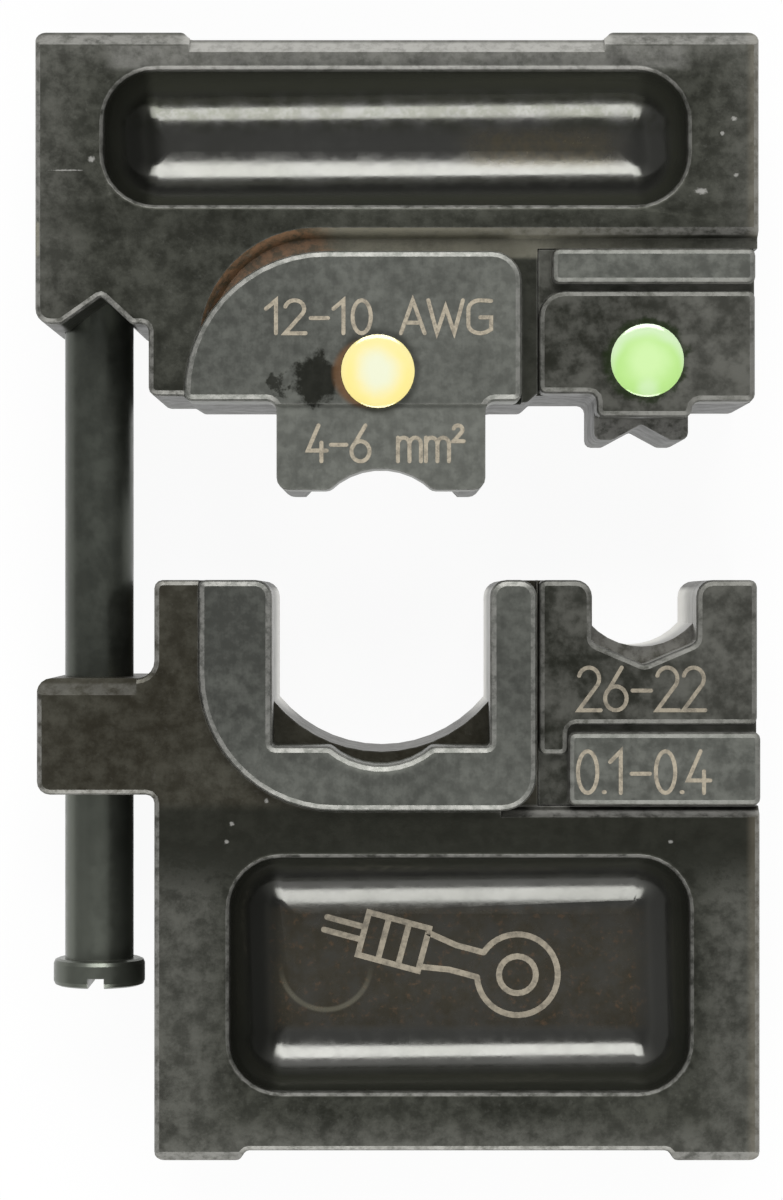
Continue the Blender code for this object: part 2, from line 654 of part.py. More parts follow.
def dowel_holes(target, label, places, floor, depth, outward):
    """Blind dowel holes from a floor into a target, in the given Z direction."""
    radius = DOWEL_DIAMETER / 2 + DOWEL_GAP
    reach = depth + DOWEL_END_ROOM
    profile = ((radius, floor - outward * REACH / 3), (radius, floor + outward * reach))
    for number, place in enumerate(places, 1):
        cut(target, turned(f"{label}_hole_{number}", profile, place))


def dowels(label, places, steel):
    """Two plain dowels with chamfered ends, part in the block and part in the plate."""
    radius = DOWEL_DIAMETER / 2
    low = SEAT_FLOOR - DOWEL_IN_BLOCK
    high = SEAT_FLOOR + SEAT_GAP + DOWEL_IN_PLATE
    profile = (
        (radius - DOWEL_CHAMFER, low),
        (radius, low + DOWEL_CHAMFER),
        (radius, high - DOWEL_CHAMFER),
        (radius - DOWEL_CHAMFER, high),
    )
    for number, place in enumerate(places, 1):
        turned(f"{label}_dowel_{number}", profile, place, steel)


# Pieces of the lower die


def lower_block(steel):
    outline = rounded(lower_block_outline())
    block = prism("lower_block", outline, 0, BLOCK_FACE, BLOCK_EDGE, BLOCK_EDGE, steel)
    shelf_end = LOWER_STRIP_END - LOWER_SHELF_BELOW
    cut_pockets(
        block,
        "lower",
        LOWER_LEFT + LOWER_POCKET_LEFT,
        LOWER_RIGHT - LOWER_POCKET_RIGHT,
        LOWER_FOOT + LOWER_POCKET_FOOT,
        shelf_end - LOWER_POCKET_SHELF,
    )
    top = NEST_TOP + REACH
    left = NEST_PLATE_LEFT - SEAT_GAP
    right = NEST_PLATE_RIGHT + SEAT_GAP
    seat = rounded([(left, top), (right, top), *large_nest_outside(SEAT_GAP)])
    cut(block, prism("large_nest_seat", seat, SEAT_FLOOR, BLOCK_FACE + REACH))
    edge = LOWER_RIGHT + REACH
    seat = rounded(box(SMALL_PLATE_LEFT - SEAT_GAP, edge, LOWER_STRIP_END - SEAT_GAP, top))
    cut(block, prism("small_nest_seat", seat, SEAT_FLOOR, BLOCK_FACE + REACH))
    side = NEST_PLATE_RIGHT - NEST_PLATE_CORNER
    cut_shelf(block, "lower_shelf", lambda grow: box(side, edge, shelf_end - grow, top))
    dowel_holes(block, "large_nest_block", LARGE_NEST_DOWELS, SEAT_FLOOR, DOWEL_IN_BLOCK, -1)
    dowel_holes(block, "small_nest_block", SMALL_NEST_DOWELS, SEAT_FLOOR, DOWEL_IN_BLOCK, -1)
    radius = PIN_DIAMETER / 2 + SLIDE_GAP
    bore = ((radius, LUG_BOTTOM - REACH), (radius, LUG_TOP + REACH))
    cut(block, turned_along("lug_bore", bore))
    lug_right = LOWER_LEFT - LUG_FILLET_TOP
    cut(block, edge_wedge("lug_chamfer", LUG_LEFT - REACH, lug_right, LUG_TOP, 1, LUG_CHAMFER))
    left = LOWER_LEFT - LUG_OUT
    for side in ("front", "back"):
        name = f"lower_{side}_seat_chamfer"
        cut(block, edge_wedge(name, left, edge, LOWER_FOOT, -1, LOWER_SEAT_CHAMFER, side))
    return block


def large_nest_plate(steel):
    outline = rounded(
        [
            (NEST_PLATE_LEFT, NEST_TOP, PLATE_CORNER),
            *large_nest_front(),
            (NEST_PLATE_RIGHT, NEST_TOP, NEST_LIP),
            *large_nest_outside(0.0),
        ]
    )
    floor = SEAT_FLOOR + SEAT_GAP
    plate = prism("large_nest_plate", outline, floor, LARGE_FACE, 0.0, PLATE_EDGE, steel)
    dowel_holes(plate, "large_nest_plate", LARGE_NEST_DOWELS, floor, DOWEL_IN_PLATE, 1)
    return plate


def small_nest_plate(steel):
    floor = SEAT_FLOOR + SEAT_GAP
    left = SMALL_PLATE_LEFT
    right = SMALL_PLATE_RIGHT
    heel = left + SMALL_HEEL_WIDTH
    heel_end = SMALL_FACE_END - SMALL_HEEL_DROP
    lips = [(left, NEST_TOP, PLATE_CORNER), *small_nest_front(), (right, NEST_TOP, PLATE_CORNER)]
    base = rounded([*lips, (right, LOWER_STRIP_END), (left, LOWER_STRIP_END)])
    plate = prism("small_nest_plate", base, floor, SMALL_BASE, 0.0, 0.0, steel)
    face = rounded(
        [
            *lips,
            (right, SMALL_FACE_END, PLATE_CORNER),
            (heel, SMALL_FACE_END, INSIDE),
            (heel, heel_end, PLATE_CORNER),
            (left, heel_end, PLATE_CORNER),
        ]
    )
    join(plate, prism("small_nest_face", face, floor + SEAT_GAP, SMALL_FACE, 0.0, STEP_EDGE))
    strip = rounded(
        box(heel, right + LOWER_STRIP_OUT, LOWER_STRIP_END, LOWER_STRIP_TOP, PLATE_CORNER)
    )
    join(plate, prism("lower_strip", strip, floor + 2 * SEAT_GAP, STRIP_FACE, 0.0, STEP_EDGE))
    dowel_holes(plate, "small_nest_plate", SMALL_NEST_DOWELS, floor, DOWEL_IN_PLATE, 1)
    return plate


# Pieces of the upper die


def upper_block(steel):
    outline = rounded(upper_block_outline())
    block = prism("upper_block", outline, 0, BLOCK_FACE, BLOCK_EDGE, BLOCK_EDGE, steel)
    cut_pockets(
        block,
        "upper",
        UPPER_LEFT + UPPER_POCKET_LEFT,
        UPPER_RIGHT - UPPER_POCKET_RIGHT,
        UPPER_SHELF_TOP + UPPER_POCKET_SHELF,
        UPPER_FOOT - UPPER_POCKET_FOOT,
    )
    low = LARGE_TONGUE_END - REACH
    edge = UPPER_RIGHT + REACH
    left = LARGE_PUNCH_LEFT - SEAT_GAP
    right = LARGE_PUNCH_RIGHT + SEAT_GAP
    seat = rounded([(left, low), *large_punch_outside(SEAT_GAP), (right, low)])
    cut(block, prism("large_punch_seat", seat, SEAT_FLOOR, BLOCK_FACE + REACH))
    seat = rounded(box(SMALL_PUNCH_LEFT - SEAT_GAP, edge, low, UPPER_STRIP_TOP + SEAT_GAP))
    cut(block, prism("small_punch_seat", seat, SEAT_FLOOR, BLOCK_FACE + REACH))
    cut_shelf(
        block,
        "upper_shelf",
        lambda grow: [
            (UPPER_SHELF_LEFT - grow, low),
            (UPPER_SHELF_LEFT - grow, UPPER_SHELF_TOP + grow, UPPER_SHELF_SWEEP + grow),
            (edge, UPPER_SHELF_TOP + grow),
            (edge, low),
        ],
    )
    dowel_holes(block, "large_punch_block", LARGE_PUNCH_DOWELS, SEAT_FLOOR, DOWEL_IN_BLOCK, -1)
    dowel_holes(block, "small_punch_block", SMALL_PUNCH_DOWELS, SEAT_FLOOR, DOWEL_IN_BLOCK, -1)
    radius = PIN_DIAMETER / 2 + PRESS_GAP
    bore = ((radius, BOSS_BOTTOM - REACH), (radius, PIN_INNER_END + PIN_BORE_ROOM))
    cut(block, turned_along("boss_bore", bore))
    foot_end = UPPER_FOOT_WIDTH + FOOT_STEP_RUN
    seats = (
        ("feet", UPPER_LEFT - REACH, edge, UPPER_FOOT),
        ("hollow", UPPER_LEFT + foot_end, UPPER_RIGHT - foot_end, UPPER_FOOT - UPPER_FOOT_RECESS),
    )
    for label, start, end, edge_y in seats:
        for side in ("front", "back"):
            name = f"upper_{label}_{side}_chamfer"
            cut(block, edge_wedge(name, start, end, edge_y, 1, UPPER_SEAT_CHAMFER, side))
    return block


def large_punch_plate(steel):
    outline = rounded(
        [
            (LARGE_PUNCH_LEFT, PUNCH_SHOULDER, PLATE_CORNER),
            *large_punch_outside(0.0),
            (LARGE_PUNCH_RIGHT, PUNCH_SHOULDER, PLATE_CORNER),
            *large_tongue(large_front_hollow()),
        ]
    )
    floor = SEAT_FLOOR + SEAT_GAP
    plate = prism("large_punch_plate", outline, floor, LARGE_FACE, 0.0, PLATE_EDGE, steel)
    cut(plate, tongue_step())
    dowel_holes(plate, "large_punch_plate", LARGE_PUNCH_DOWELS, floor, DOWEL_IN_PLATE, 1)
    dimple(plate, "yellow_dimple", YELLOW_DOT, LARGE_FACE)
    return plate


def small_punch_plate(steel):
    floor = SEAT_FLOOR + SEAT_GAP
    left = SMALL_PUNCH_LEFT
    right = SMALL_PUNCH_RIGHT
    lower_side = [
        (right, SMALL_RIGHT_SHOULDER, PLATE_CORNER),
        *small_tongue(SMALL_FRONT_TONGUE, 0.0),
        (left, SMALL_LEFT_SHOULDER, PLATE_CORNER),
    ]
    base = rounded([(left, UPPER_STRIP_TOP), (right, UPPER_STRIP_TOP), *lower_side])
    plate = prism("small_punch_plate", base, floor, SMALL_BASE, 0.0, 0.0, steel)
    top = UPPER_STRIP_END - UPPER_GROOVE
    face = rounded([(left, top, SMALL_PUNCH_SWEEP), (right, top, PLATE_CORNER), *lower_side])
    join(plate, prism("small_punch_face", face, floor + SEAT_GAP, SMALL_FACE, 0.0, STEP_EDGE))
    strip = rounded(
        box(left + UPPER_STRIP_SETBACK, right, UPPER_STRIP_END, UPPER_STRIP_TOP, PLATE_CORNER)
    )
    join(plate, prism("upper_strip", strip, floor + 2 * SEAT_GAP, STRIP_FACE, 0.0, STEP_EDGE))
    dowel_holes(plate, "small_punch_plate", SMALL_PUNCH_DOWELS, floor, DOWEL_IN_PLATE, 1)
    dimple(plate, "green_dimple", GREEN_DOT, SMALL_FACE)
    return plate


def tongue_step():
    """The lower face of the large tongue, which runs across both shoulders' rims."""
    left = LARGE_PUNCH_LEFT - REACH
    right = LARGE_PUNCH_RIGHT + REACH
    top = PUNCH_SHOULDER - LARGE_TONGUE_STEP
    outline = rounded(box(left, right, LARGE_TONGUE_END - REACH, top))
    return prism("tongue_step", outline, LARGE_TONGUE_FACE, LARGE_FACE + REACH)


def dimple(target, name, place, face):
    """A flat-bottomed dimple for a size dot."""
    radius = DOT_DIAMETER / 2
    profile = ((radius, face - DOT_DEPTH), (radius, face + REACH))
    cut(target, turned(name, profile, place, sides=40))


def size_dot(name, place, face, enamel):
    """A drop of enamel that fills its dimple and stands over the face as a low dome."""
    radius = DOT_DIAMETER / 2 - DOT_GAP
    dome_steps = 5
    profile = [(radius, face - DOT_DEPTH + DOT_GAP), (radius, face)]
    for step in range(1, dome_steps):
        angle = math.pi / 2 * step / dome_steps
        profile.append((radius * math.cos(angle), face + DOT_DOME * math.sin(angle)))
    profile.append((radius * 0.05, face + DOT_DOME))
    return turned(name, profile, place, enamel, sides=40)


def guide_pin(steel):
    radius = PIN_DIAMETER / 2
    flange = FLANGE_DIAMETER / 2
    flange_end = FLANGE_TOP - FLANGE_THICKNESS
    profile = (
        (flange - FLANGE_EDGE, flange_end),
        (flange - FLANGE_EDGE * 0.3, flange_end + FLANGE_EDGE * 0.3),
        (flange, flange_end + FLANGE_EDGE),
        (flange, FLANGE_TOP - FLANGE_EDGE),
        (flange - FLANGE_EDGE * 0.3, FLANGE_TOP - FLANGE_EDGE * 0.3),
        (flange - FLANGE_EDGE, FLANGE_TOP),
        (radius, FLANGE_TOP),
        (radius, PIN_INNER_END - PIN_END_CHAMFER),
        (radius - PIN_END_CHAMFER, PIN_INNER_END),
    )
    pin = turned_along("guide_pin", profile, steel)
    half = SLOT_WIDTH / 2
    slot = rounded(box(PIN_X - half, PIN_X + half, flange_end - REACH, flange_end + SLOT_DEPTH))
    cut(pin, prism("pin_slot", slot, PIN_Z - REACH, PIN_Z + REACH))
    return pin


def main():
    for thing in list(bpy.data.objects):
        bpy.data.objects.remove(thing, do_unlink=True)

    black = material("blackened_steel", (0.035, 0.035, 0.03), 0.45, 0.7)
    ground = material("ground_steel", (0.10, 0.105, 0.095), 0.4, 0.8)
    pin_steel = material("pin_steel", (0.03, 0.033, 0.03), 0.3, 0.8)
    yellow = material("yellow_enamel", (0.85, 0.55, 0.10), 0.15, 0.0)
    green = material("green_enamel", (0.25, 0.75, 0.15), 0.15, 0.0)

    lower_block(black)
    large_nest_plate(ground)
    small_nest_plate(black)
    dowels("large_nest", LARGE_NEST_DOWELS, pin_steel)
    dowels("small_nest", SMALL_NEST_DOWELS, pin_steel)

    upper_block(black)
    large_punch_plate(ground)
    small_punch_plate(black)
    dowels("large_punch", LARGE_PUNCH_DOWELS, pin_steel)
    dowels("small_punch", SMALL_PUNCH_DOWELS, pin_steel)
    guide_pin(pin_steel)
    size_dot("yellow_size_dot", YELLOW_DOT, LARGE_FACE, yellow)
    size_dot("green_size_dot", GREEN_DOT, SMALL_FACE, green)


main()
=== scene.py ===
import functools
import math

import bmesh
import bpy
from bpy.props import FloatProperty, FloatVectorProperty, PointerProperty
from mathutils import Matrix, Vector
from mathutils.bvhtree import BVHTree


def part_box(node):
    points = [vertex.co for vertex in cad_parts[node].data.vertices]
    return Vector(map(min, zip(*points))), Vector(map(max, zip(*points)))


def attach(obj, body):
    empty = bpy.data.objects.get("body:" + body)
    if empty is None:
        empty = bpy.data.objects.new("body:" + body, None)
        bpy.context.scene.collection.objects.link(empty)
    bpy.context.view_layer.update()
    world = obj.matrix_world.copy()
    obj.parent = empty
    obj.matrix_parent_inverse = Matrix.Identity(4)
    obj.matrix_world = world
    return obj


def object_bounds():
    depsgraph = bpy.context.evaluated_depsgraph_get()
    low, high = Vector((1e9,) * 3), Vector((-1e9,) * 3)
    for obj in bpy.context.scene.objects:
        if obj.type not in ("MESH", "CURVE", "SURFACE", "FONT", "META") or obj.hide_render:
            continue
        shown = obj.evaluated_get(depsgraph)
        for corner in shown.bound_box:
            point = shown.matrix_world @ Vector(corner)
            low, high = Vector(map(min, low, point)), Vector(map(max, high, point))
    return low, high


bl_info = {
    "name": "Crimping Die Set",
    "version": (1, 0, 0),
    "blender": (4, 5, 0),
    "location": "View3D > Sidebar > Die Set",
    "description": "Finishes, size marks and studio for a set of crimping dies",
    "category": "Object",
}

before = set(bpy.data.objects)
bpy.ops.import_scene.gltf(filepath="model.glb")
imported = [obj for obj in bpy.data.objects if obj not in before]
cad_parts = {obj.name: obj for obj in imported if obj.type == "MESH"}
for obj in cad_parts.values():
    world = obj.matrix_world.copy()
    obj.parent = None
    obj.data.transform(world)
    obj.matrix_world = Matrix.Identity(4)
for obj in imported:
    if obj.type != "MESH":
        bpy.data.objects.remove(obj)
cad_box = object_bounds()

MM = 0.001
LOWER = "lower_die"
UPPER = "upper_die"

# The photograph's size in pixels, its scale on the front faces, and its pixel at the origin
PHOTO_SIZE = (783, 1200)
MM_PER_PIXEL = 0.0422
PHOTO_ORIGIN = (398.0, 596.0)

# Heights of the front faces and of the rear crimping layer, in millimetres
FRONT_FACE = 10.0
REAR_LAYER = 7.8

# Right side of both blocks, and middle and half width of each nest, in millimetres
BLOCK_RIGHT = 15.34
NESTS = ((-0.72, 4.6), (10.48, 2.2))

# Middle of the round hollow in the large nest's plate, in millimetres
LARGE_HOLLOW = (-0.72, -3.87)

# Left, right, lower and upper side of each pocket, in millimetres
UPPER_POCKET = (-12.5, 12.3, 16.62, 22.33)
LOWER_POCKET = (-7.15, 12.39, -21.06, -11.12)

# Nicks: x and y in photograph pixels, half width and half height in millimetres
UPPER_NICKS = (
    (703, 189, 0.34, 0.16),
    (724, 131, 0.10, 0.12),
    (736, 116, 0.16, 0.12),
    (738, 173, 0.12, 0.12),
    (90, 157, 0.18, 0.16),
    (64, 168, 0.80, 0.04),
)
LOWER_NICKS = (
    (266, 802, 0.10, 0.14),
    (231, 825, 0.12, 0.12),
    (226, 843, 0.12, 0.12),
    (672, 843, 0.12, 0.10),
)

# Size marks: name, node, body, words, lower left and upper right pixel, share of brightness
SIZE_MARKS = (
    ("large_gauge_mark", "large_punch_plate", UPPER, "12-10 AWG", (264, 333), (494, 300), 1.0),
    ("large_area_mark", "large_punch_plate", UPPER, "4-6 mm²", (306, 461), (466, 425), 1.0),
    ("small_gauge_mark", "small_nest_plate", LOWER, "26-22", (578, 711), (710, 668), 0.75),
    ("small_area_mark", "small_nest_plate", LOWER, "0.1-0.4", (577, 794), (714, 752), 0.95),
)

# Middle of the terminal symbol, as a photograph pixel
SYMBOL_PLACE = (452, 966)


def from_photo(x, y):
    """Millimetres on the front faces for a pixel of the photograph."""
    return (x - PHOTO_ORIGIN[0]) * MM_PER_PIXEL, (PHOTO_ORIGIN[1] - y) * MM_PER_PIXEL


def shaded(colour, share):
    """A colour made darker or lighter by a share."""
    return [part * share for part in colour]


def colour_property(name, description, default):
    return FloatVectorProperty(
        name=name, description=description, default=default, size=3, subtype="COLOR", min=0, max=1
    )


# Sizes and colours


class DieSetFinish(bpy.types.PropertyGroup):
    oxide_dark: colour_property(
        "Dark oxide", "Dark parts of the blackened steel", (0.024, 0.025, 0.019)
    )
    oxide_light: colour_property(
        "Light oxide", "Grey-green parts of the blackened steel", (0.078, 0.080, 0.066)
    )
    worn: colour_property("Worn oxide", "Handled outer margins", (0.145, 0.145, 0.128))
    burnished: colour_property("Burnished oxide", "Smooth pockets", (0.100, 0.100, 0.094))
    ground: colour_property("Ground steel", "Faces of the large plates", (0.160, 0.166, 0.148))
    bare: colour_property("Bare steel", "Steel that shows on worn rims", (0.40, 0.395, 0.37))
    pin: colour_property("Pin steel", "Smooth oxide of the guide pin", (0.090, 0.097, 0.082))
    rust_dark: colour_property("Dark rust", "Olive-brown rust", (0.075, 0.055, 0.030))
    # Light rust, also used for the painted shadow beside the yellow dot
    tan_rust_and_shadow: colour_property("Light rust", "Tan rust", (0.205, 0.112, 0.056))
    film: colour_property("Brown film", "Thin stain on the pocket floors", (0.027, 0.022, 0.011))
    # Pale dirt in the groove, also used for a painted highlight on the groove's sloped wall
    grime_and_highlight: colour_property("Grime", "Pale dirt in the groove", (0.195, 0.185, 0.138))
    mark: colour_property("Laser mark", "Tan lines of the laser marks", (0.37, 0.325, 0.245))
    yellow: colour_property("Yellow enamel", "Rim of the large size's dot", (0.85, 0.72, 0.26))
    yellow_pale: colour_property("Pale yellow", "Middle of that dot", (0.74, 0.76, 0.57))
    green: colour_property("Green enamel", "Rim of the small size's dot", (0.42, 0.68, 0.22))
    green_halo: colour_property("Green halo", "Thin paint round that dot", (0.020, 0.034, 0.010))
    # Painted reflection on the domed enamel
    enamel_reflection: colour_property("Gleam", "Whitish parts of the enamel", (0.66, 0.76, 0.62))
    green_pale: colour_property("Pale green", "Middle of that dot", (0.54, 0.76, 0.35))


class DieSetMarks(bpy.types.PropertyGroup):
    line: FloatProperty(
        name="Line", description="Width of a mark's line", default=0.17 * MM, unit="LENGTH"
    )
    lift: FloatProperty(
        name="Lift", description="Height of a mark over its face", default=0.008 * MM, unit="LENGTH"
    )


class DieSetStudio(bpy.types.PropertyGroup):
    camera_distance: FloatProperty(
        name="Camera distance",
        description="From the front faces to the camera",
        default=140 * MM,
        unit="LENGTH",
    )
    lamp_distance: FloatProperty(
        name="Lamp distance",
        description="From the die set to each softbox",
        default=450 * MM,
        unit="LENGTH",
    )
    lamp_width: FloatProperty(
        name="Lamp width", description="Width of each softbox", default=320 * MM, unit="LENGTH"
    )
    lamp_height: FloatProperty(
        name="Lamp height", description="Height of each softbox", default=190 * MM, unit="LENGTH"
    )
    lamp_lean: FloatProperty(
        name="Lamp lean",
        description="Angle of a softbox's middle from straight above",
        default=math.radians(44),
        subtype="ANGLE",
    )
    lamp_power: FloatProperty(
        name="Lamp power", description="Power of each softbox", default=1.35, subtype="POWER"
    )


# Shader expressions


class Value:
    """A socket in an expression. Arithmetic on it adds Math nodes."""

    def __init__(self, nodes, socket):
        self.nodes = nodes
        self.socket = socket

    def math(self, operation, *others, clamp=False):
        settings = {"operation": operation, "use_clamp": clamp}
        return self.nodes.add("ShaderNodeMath", settings, dict(enumerate((self, *others))))

    def __add__(self, other):
        return self.math("ADD", other)

    __radd__ = __add__

    def __sub__(self, other):
        return self.math("SUBTRACT", other)

    def __rsub__(self, other):
        return (self * -1.0) + other

    def __mul__(self, other):
        return self.math("MULTIPLY", other)

    __rmul__ = __mul__

    def __pow__(self, other):
        return self.math("POWER", other)

    def clamp(self):
        return self.math("ADD", 0.0, clamp=True)

    def larger(self, other):
        return self.math("MAXIMUM", other)


class Nodes:
    """The node tree of one material or world."""

    def __init__(self, owner):
        owner.use_nodes = True
        self.tree = owner.node_tree

    def add(self, kind, settings=None, sockets=None, output=0):
        """Add a node, set it up, fill its sockets with values or links, and return an output."""
        node = self.tree.nodes.new(kind)
        for name, setting in (settings or {}).items():
            setattr(node, name, setting)
        for name, value in (sockets or {}).items():
            self.fill(node.inputs[name], value)
        return Value(self, node.outputs[output])

    def fill(self, socket, value):
        if isinstance(value, Value):
            self.tree.links.new(value.socket, socket)
        elif socket.type == "RGBA":
            socket.default_value = (*value[:3], 1.0)
        else:
            socket.default_value = value

    def vector(self, operation, first, second, output=0):
        """Vector maths on two points, directions or lists of factors."""
        settings = {"operation": operation}
        return self.add("ShaderNodeVectorMath", settings, {0: first, 1: second}, output)

    def axes(self, point):
        """The three coordinates of a point."""
        split = self.add("ShaderNodeSeparateXYZ", None, {0: point}).socket.node
        return [Value(self, output) for output in split.outputs]

    def blend(self, factor, low, high):
        """Mix two colours."""
        settings = {"data_type": "RGBA", "clamp_factor": True}
        return self.add("ShaderNodeMix", settings, {0: factor, 6: low, 7: high}, output=2)

    def layers(self, colour, *coats):
        """Lay further colours over one, each with a mask of where it shows."""
        for mask, coat in coats:
            colour = self.blend(mask, colour, coat)
        return colour

    def step(self, value, start, end):
        """A smooth mask that rises from 0 at start to 1 at end."""
        settings = {"interpolation_type": "SMOOTHSTEP"}
        return self.add("ShaderNodeMapRange", settings, {0: value, 1: start, 2: end})

    def fall(self, value, start, end):
        """A smooth mask that falls from 1 at start to 0 at end."""
        return self.step(value * -1.0, -end, -start)

    def band(self, value, start, full, fade, end):
        """A smooth mask that rises from start to full, and falls from fade to end."""
        return self.step(value, start, full) * self.fall(value, fade, end)

    def shift(self, place, seed):
        """Move a pattern sideways, so that two pieces don't share it."""
        return self.vector("ADD", place, (seed, seed * 2.0, 0.0))

    def noise(self, place, scale, detail=3.0, roughness=0.55):
        """Noise, with its scale in waves per millimetre."""
        sockets = {"Vector": place, "Scale": scale, "Detail": detail, "Roughness": roughness}
        return self.add("ShaderNodeTexNoise", None, sockets)

    def place(self):
        """The point on the piece, in millimetres."""
        point = self.add("ShaderNodeTexCoord", output="Object")
        return self.vector("MULTIPLY", point, (1 / MM,) * 3)

    def distance(self, place, centre):
        """Distance in millimetres from a line along Z, which is given by its x and y."""
        level = self.vector("MULTIPLY", place, (1, 1, 0))
        return self.vector("DISTANCE", level, (*centre, 0.0), output="Value")

    def edges(self, radius):
        """A mask of sharp outer edges, from how far a rounded normal leans off the face."""
        rounded = self.add("ShaderNodeBevel", {"samples": 6}, {"Radius": radius})
        flat = self.add("ShaderNodeNewGeometry", output="Normal")
        match = self.vector("DOT_PRODUCT", rounded, flat, output="Value")
        return self.step(1.0 - match, 0.02, 0.30)

    def lean(self, axis=2):
        """How far a face's normal lies along an axis: along Z, 1 on a level face, 0 on a wall."""
        normal = self.add("ShaderNodeNewGeometry", output="Normal")
        return self.axes(normal)[axis].math("ABSOLUTE")


class Finish(Nodes):
    """A material with one Principled shader."""

    def __init__(self, name):
        self.material = bpy.data.materials.new(name)
        super().__init__(self.material)
        self.shader = self.tree.nodes["Principled BSDF"]

    def surface(self, **sockets):
        """Fill the shader's sockets; a name's underscore stands for a space."""
        for name, value in sockets.items():
            self.fill(self.shader.inputs[name.replace("_", " ")], value)
        return self.material

    def bump(self, height, strength, distance):
        sockets = {"Height": height, "Strength": strength, "Distance": distance}
        return self.add("ShaderNodeBump", None, sockets)


# Finishes


def oxide_finish(name, look, seed, left, handled, pocket, wall_share, stain, nicks):
    """Mottled black oxide: worn rims and margins, a burnished pocket, stains and nicks, with
    painted highlights on some edges, painted light on the nest walls, and painted shade between
    parts and on the pocket's end walls.
    """
    finish = Finish(name)
    place = finish.place()
    x, y, z = finish.axes(place)
    shifted = finish.shift(place, seed)
    clouds = finish.step(finish.noise(shifted, 0.20, 3.0), 0.34, 0.70)
    mottle = finish.step(finish.noise(shifted, 1.1, 6.0, 0.68), 0.34, 0.68)
    flecks = finish.step(finish.noise(shifted, 3.4, 3.0, 0.6), 0.58, 0.74)
    scuffs = finish.step(finish.noise(shifted, 1.9, 4.0, 0.7), 0.30, 0.62)
    grain = finish.noise(shifted, 9.0, 2.0)
    level = finish.lean()
    side = finish.fall(level, 0.2, 0.5)
    inside = pocket_mask(finish, x, y, z, pocket)
    outside = 1.0 - inside

    tone = (mottle * 0.6 + clouds * 0.4).clamp() * (1.0 - side * 0.6)
    margin = margin_mask(finish, x, y, left, handled) * (1.0 - side * 0.7)
    rims = rim_wear(finish, level, z) * (1.0 - lug_chamfer(finish, x, y))
    # rubbed: painted highlight on edges that face the softboxes, partly wear
    rubbed = edge_highlight_mask(finish, x, y, z)
    colour = finish.layers(
        finish.blend(tone, look.oxide_dark, look.oxide_light),
        (margin * (0.35 + mottle * 0.5), look.worn),
        (flecks * outside * (0.25 - side * 0.15), look.worn),
        (warm_mask(finish, y) * 0.22, look.rust_dark),
        # painted shade between the plates and the pocket, and on the shelf between the punches
        (painted_shade_mask(finish, x, y, z, mottle), look.oxide_dark),
        (handled_rim(finish, x, z) * 0.22, look.mark),
        (nest_ledge(finish, x, y, z) * (0.12 + scuffs * 0.4), look.bare),
        # worn rims, with painted highlight added where rubbed is set
        (rims * (0.06 + scuffs * 0.50 + rubbed * 0.5), look.bare),
        (rubbed * outside * (0.12 + scuffs * 0.18), look.bare),
        # painted light on the nest walls
        nest_wall_light(finish, look, (x, y, z), level),
        (nick_mask(finish, place, z, nicks), look.bare),
    )

    wall = inside * finish.fall(level, 0.55, 0.80)
    patches = finish.step(finish.noise(shifted, 0.9, 5.0, 0.7), 0.38, 0.60)
    dull_side = patches * finish.step(y, 19.8, 20.4)
    polished = (inside - wall) * (0.95 - clouds * 0.2 - dull_side * 0.55)
    # painted shade on the pocket's end walls, which face away from the softboxes; darker at the
    # left end
    ends = inside * finish.step(finish.lean(axis=0), 0.03, 0.30)
    colour = finish.layers(
        colour,
        (inside, shaded(look.oxide_dark, wall_share)),
        (polished, look.burnished),
        (ends * (0.75 - finish.step(x, 0.0, 5.0) * 0.4), shaded(look.oxide_dark, 0.6)),
    )

    colour, dull = stain(finish, look, place, shifted, level, colour)
    relief = (mottle * 0.6 + grain * 0.4) * (1.0 - inside * 0.75)
    return finish.surface(
        Base_Color=colour,
        Metallic=(1.0 - dull) * 0.85 - wall * 0.45,
        Roughness=0.38 + mottle * 0.10 - flecks * 0.05 - inside * 0.25 + dull * 0.15 + rims * 0.15,
        Normal=finish.bump(relief, 0.30, 0.02 * MM),
    )


def margin_mask(finish, x, y, left, handled):
    """1 at the seats and at the sides of a block, where it is handled, 0 further in."""
    start, full = handled
    left_side = finish.fall(x, left + full, left + start)
    right_side = finish.step(x, BLOCK_RIGHT - start * 0.8, BLOCK_RIGHT - full * 0.8)
    reach = y.math("ABSOLUTE")
    sides = left_side.larger(right_side) * finish.step(reach, 10.0, 13.0) * 0.7
    seats = finish.step(reach, 21.8, 23.6)
    return sides.larger(seats)


def handled_rim(finish, x, z):
    """1 on the rounded rim along the right side of a block."""
    return finish.step(x, 14.7, 15.1) * finish.step(z, 9.2, 9.6)


def warm_mask(finish, y):
    """1 on the plates' side of the lower block, where the oxide is browner."""
    return finish.band(y, -11.5, -9.5, 1.0, 3.0)


def edge_highlight_mask(finish, x, y, z):
    """Painted highlight, partly worn bare steel, on edges that face the softboxes: above the upper
    pocket, between the seats, and under the lower size strip.
    """
    away = x.math("ABSOLUTE")
    bevel = finish.step(y, 23.3, 23.4) * (1.0 - finish.fall(away, 8.9, 9.3))
    top = finish.step(y, 22.2, 22.5) * finish.fall(away, 11.8, 12.6) * (1.0 - bevel)
    under_strip = finish.band(y, -9.35, -9.15, -8.95, -8.85) * finish.step(x, 4.0, 5.0)
    return top.larger(under_strip) * finish.step(z, 9.2, 9.3)


def painted_shade_mask(finish, x, y, z, mottle):
    """Painted shade: dark strips between the plates and the pocket, and on the shelf between the
    punches.
    """
    ragged = y + (mottle - 0.5) * 1.6
    lower = finish.fall(y, -9.2, -8.6) * finish.step(ragged, -12.6, -10.9) * 0.9
    upper = finish.band(y, 15.2, 15.5, 16.5, 17.0) * 0.25
    shelf = finish.fall(z, 9.4, 9.5)
    between = shelf * finish.step(x, 4.6, 5.0) * finish.band(y, 7.0, 7.5, 14.2, 14.6) * 0.6
    return lower.larger(upper).larger(between)


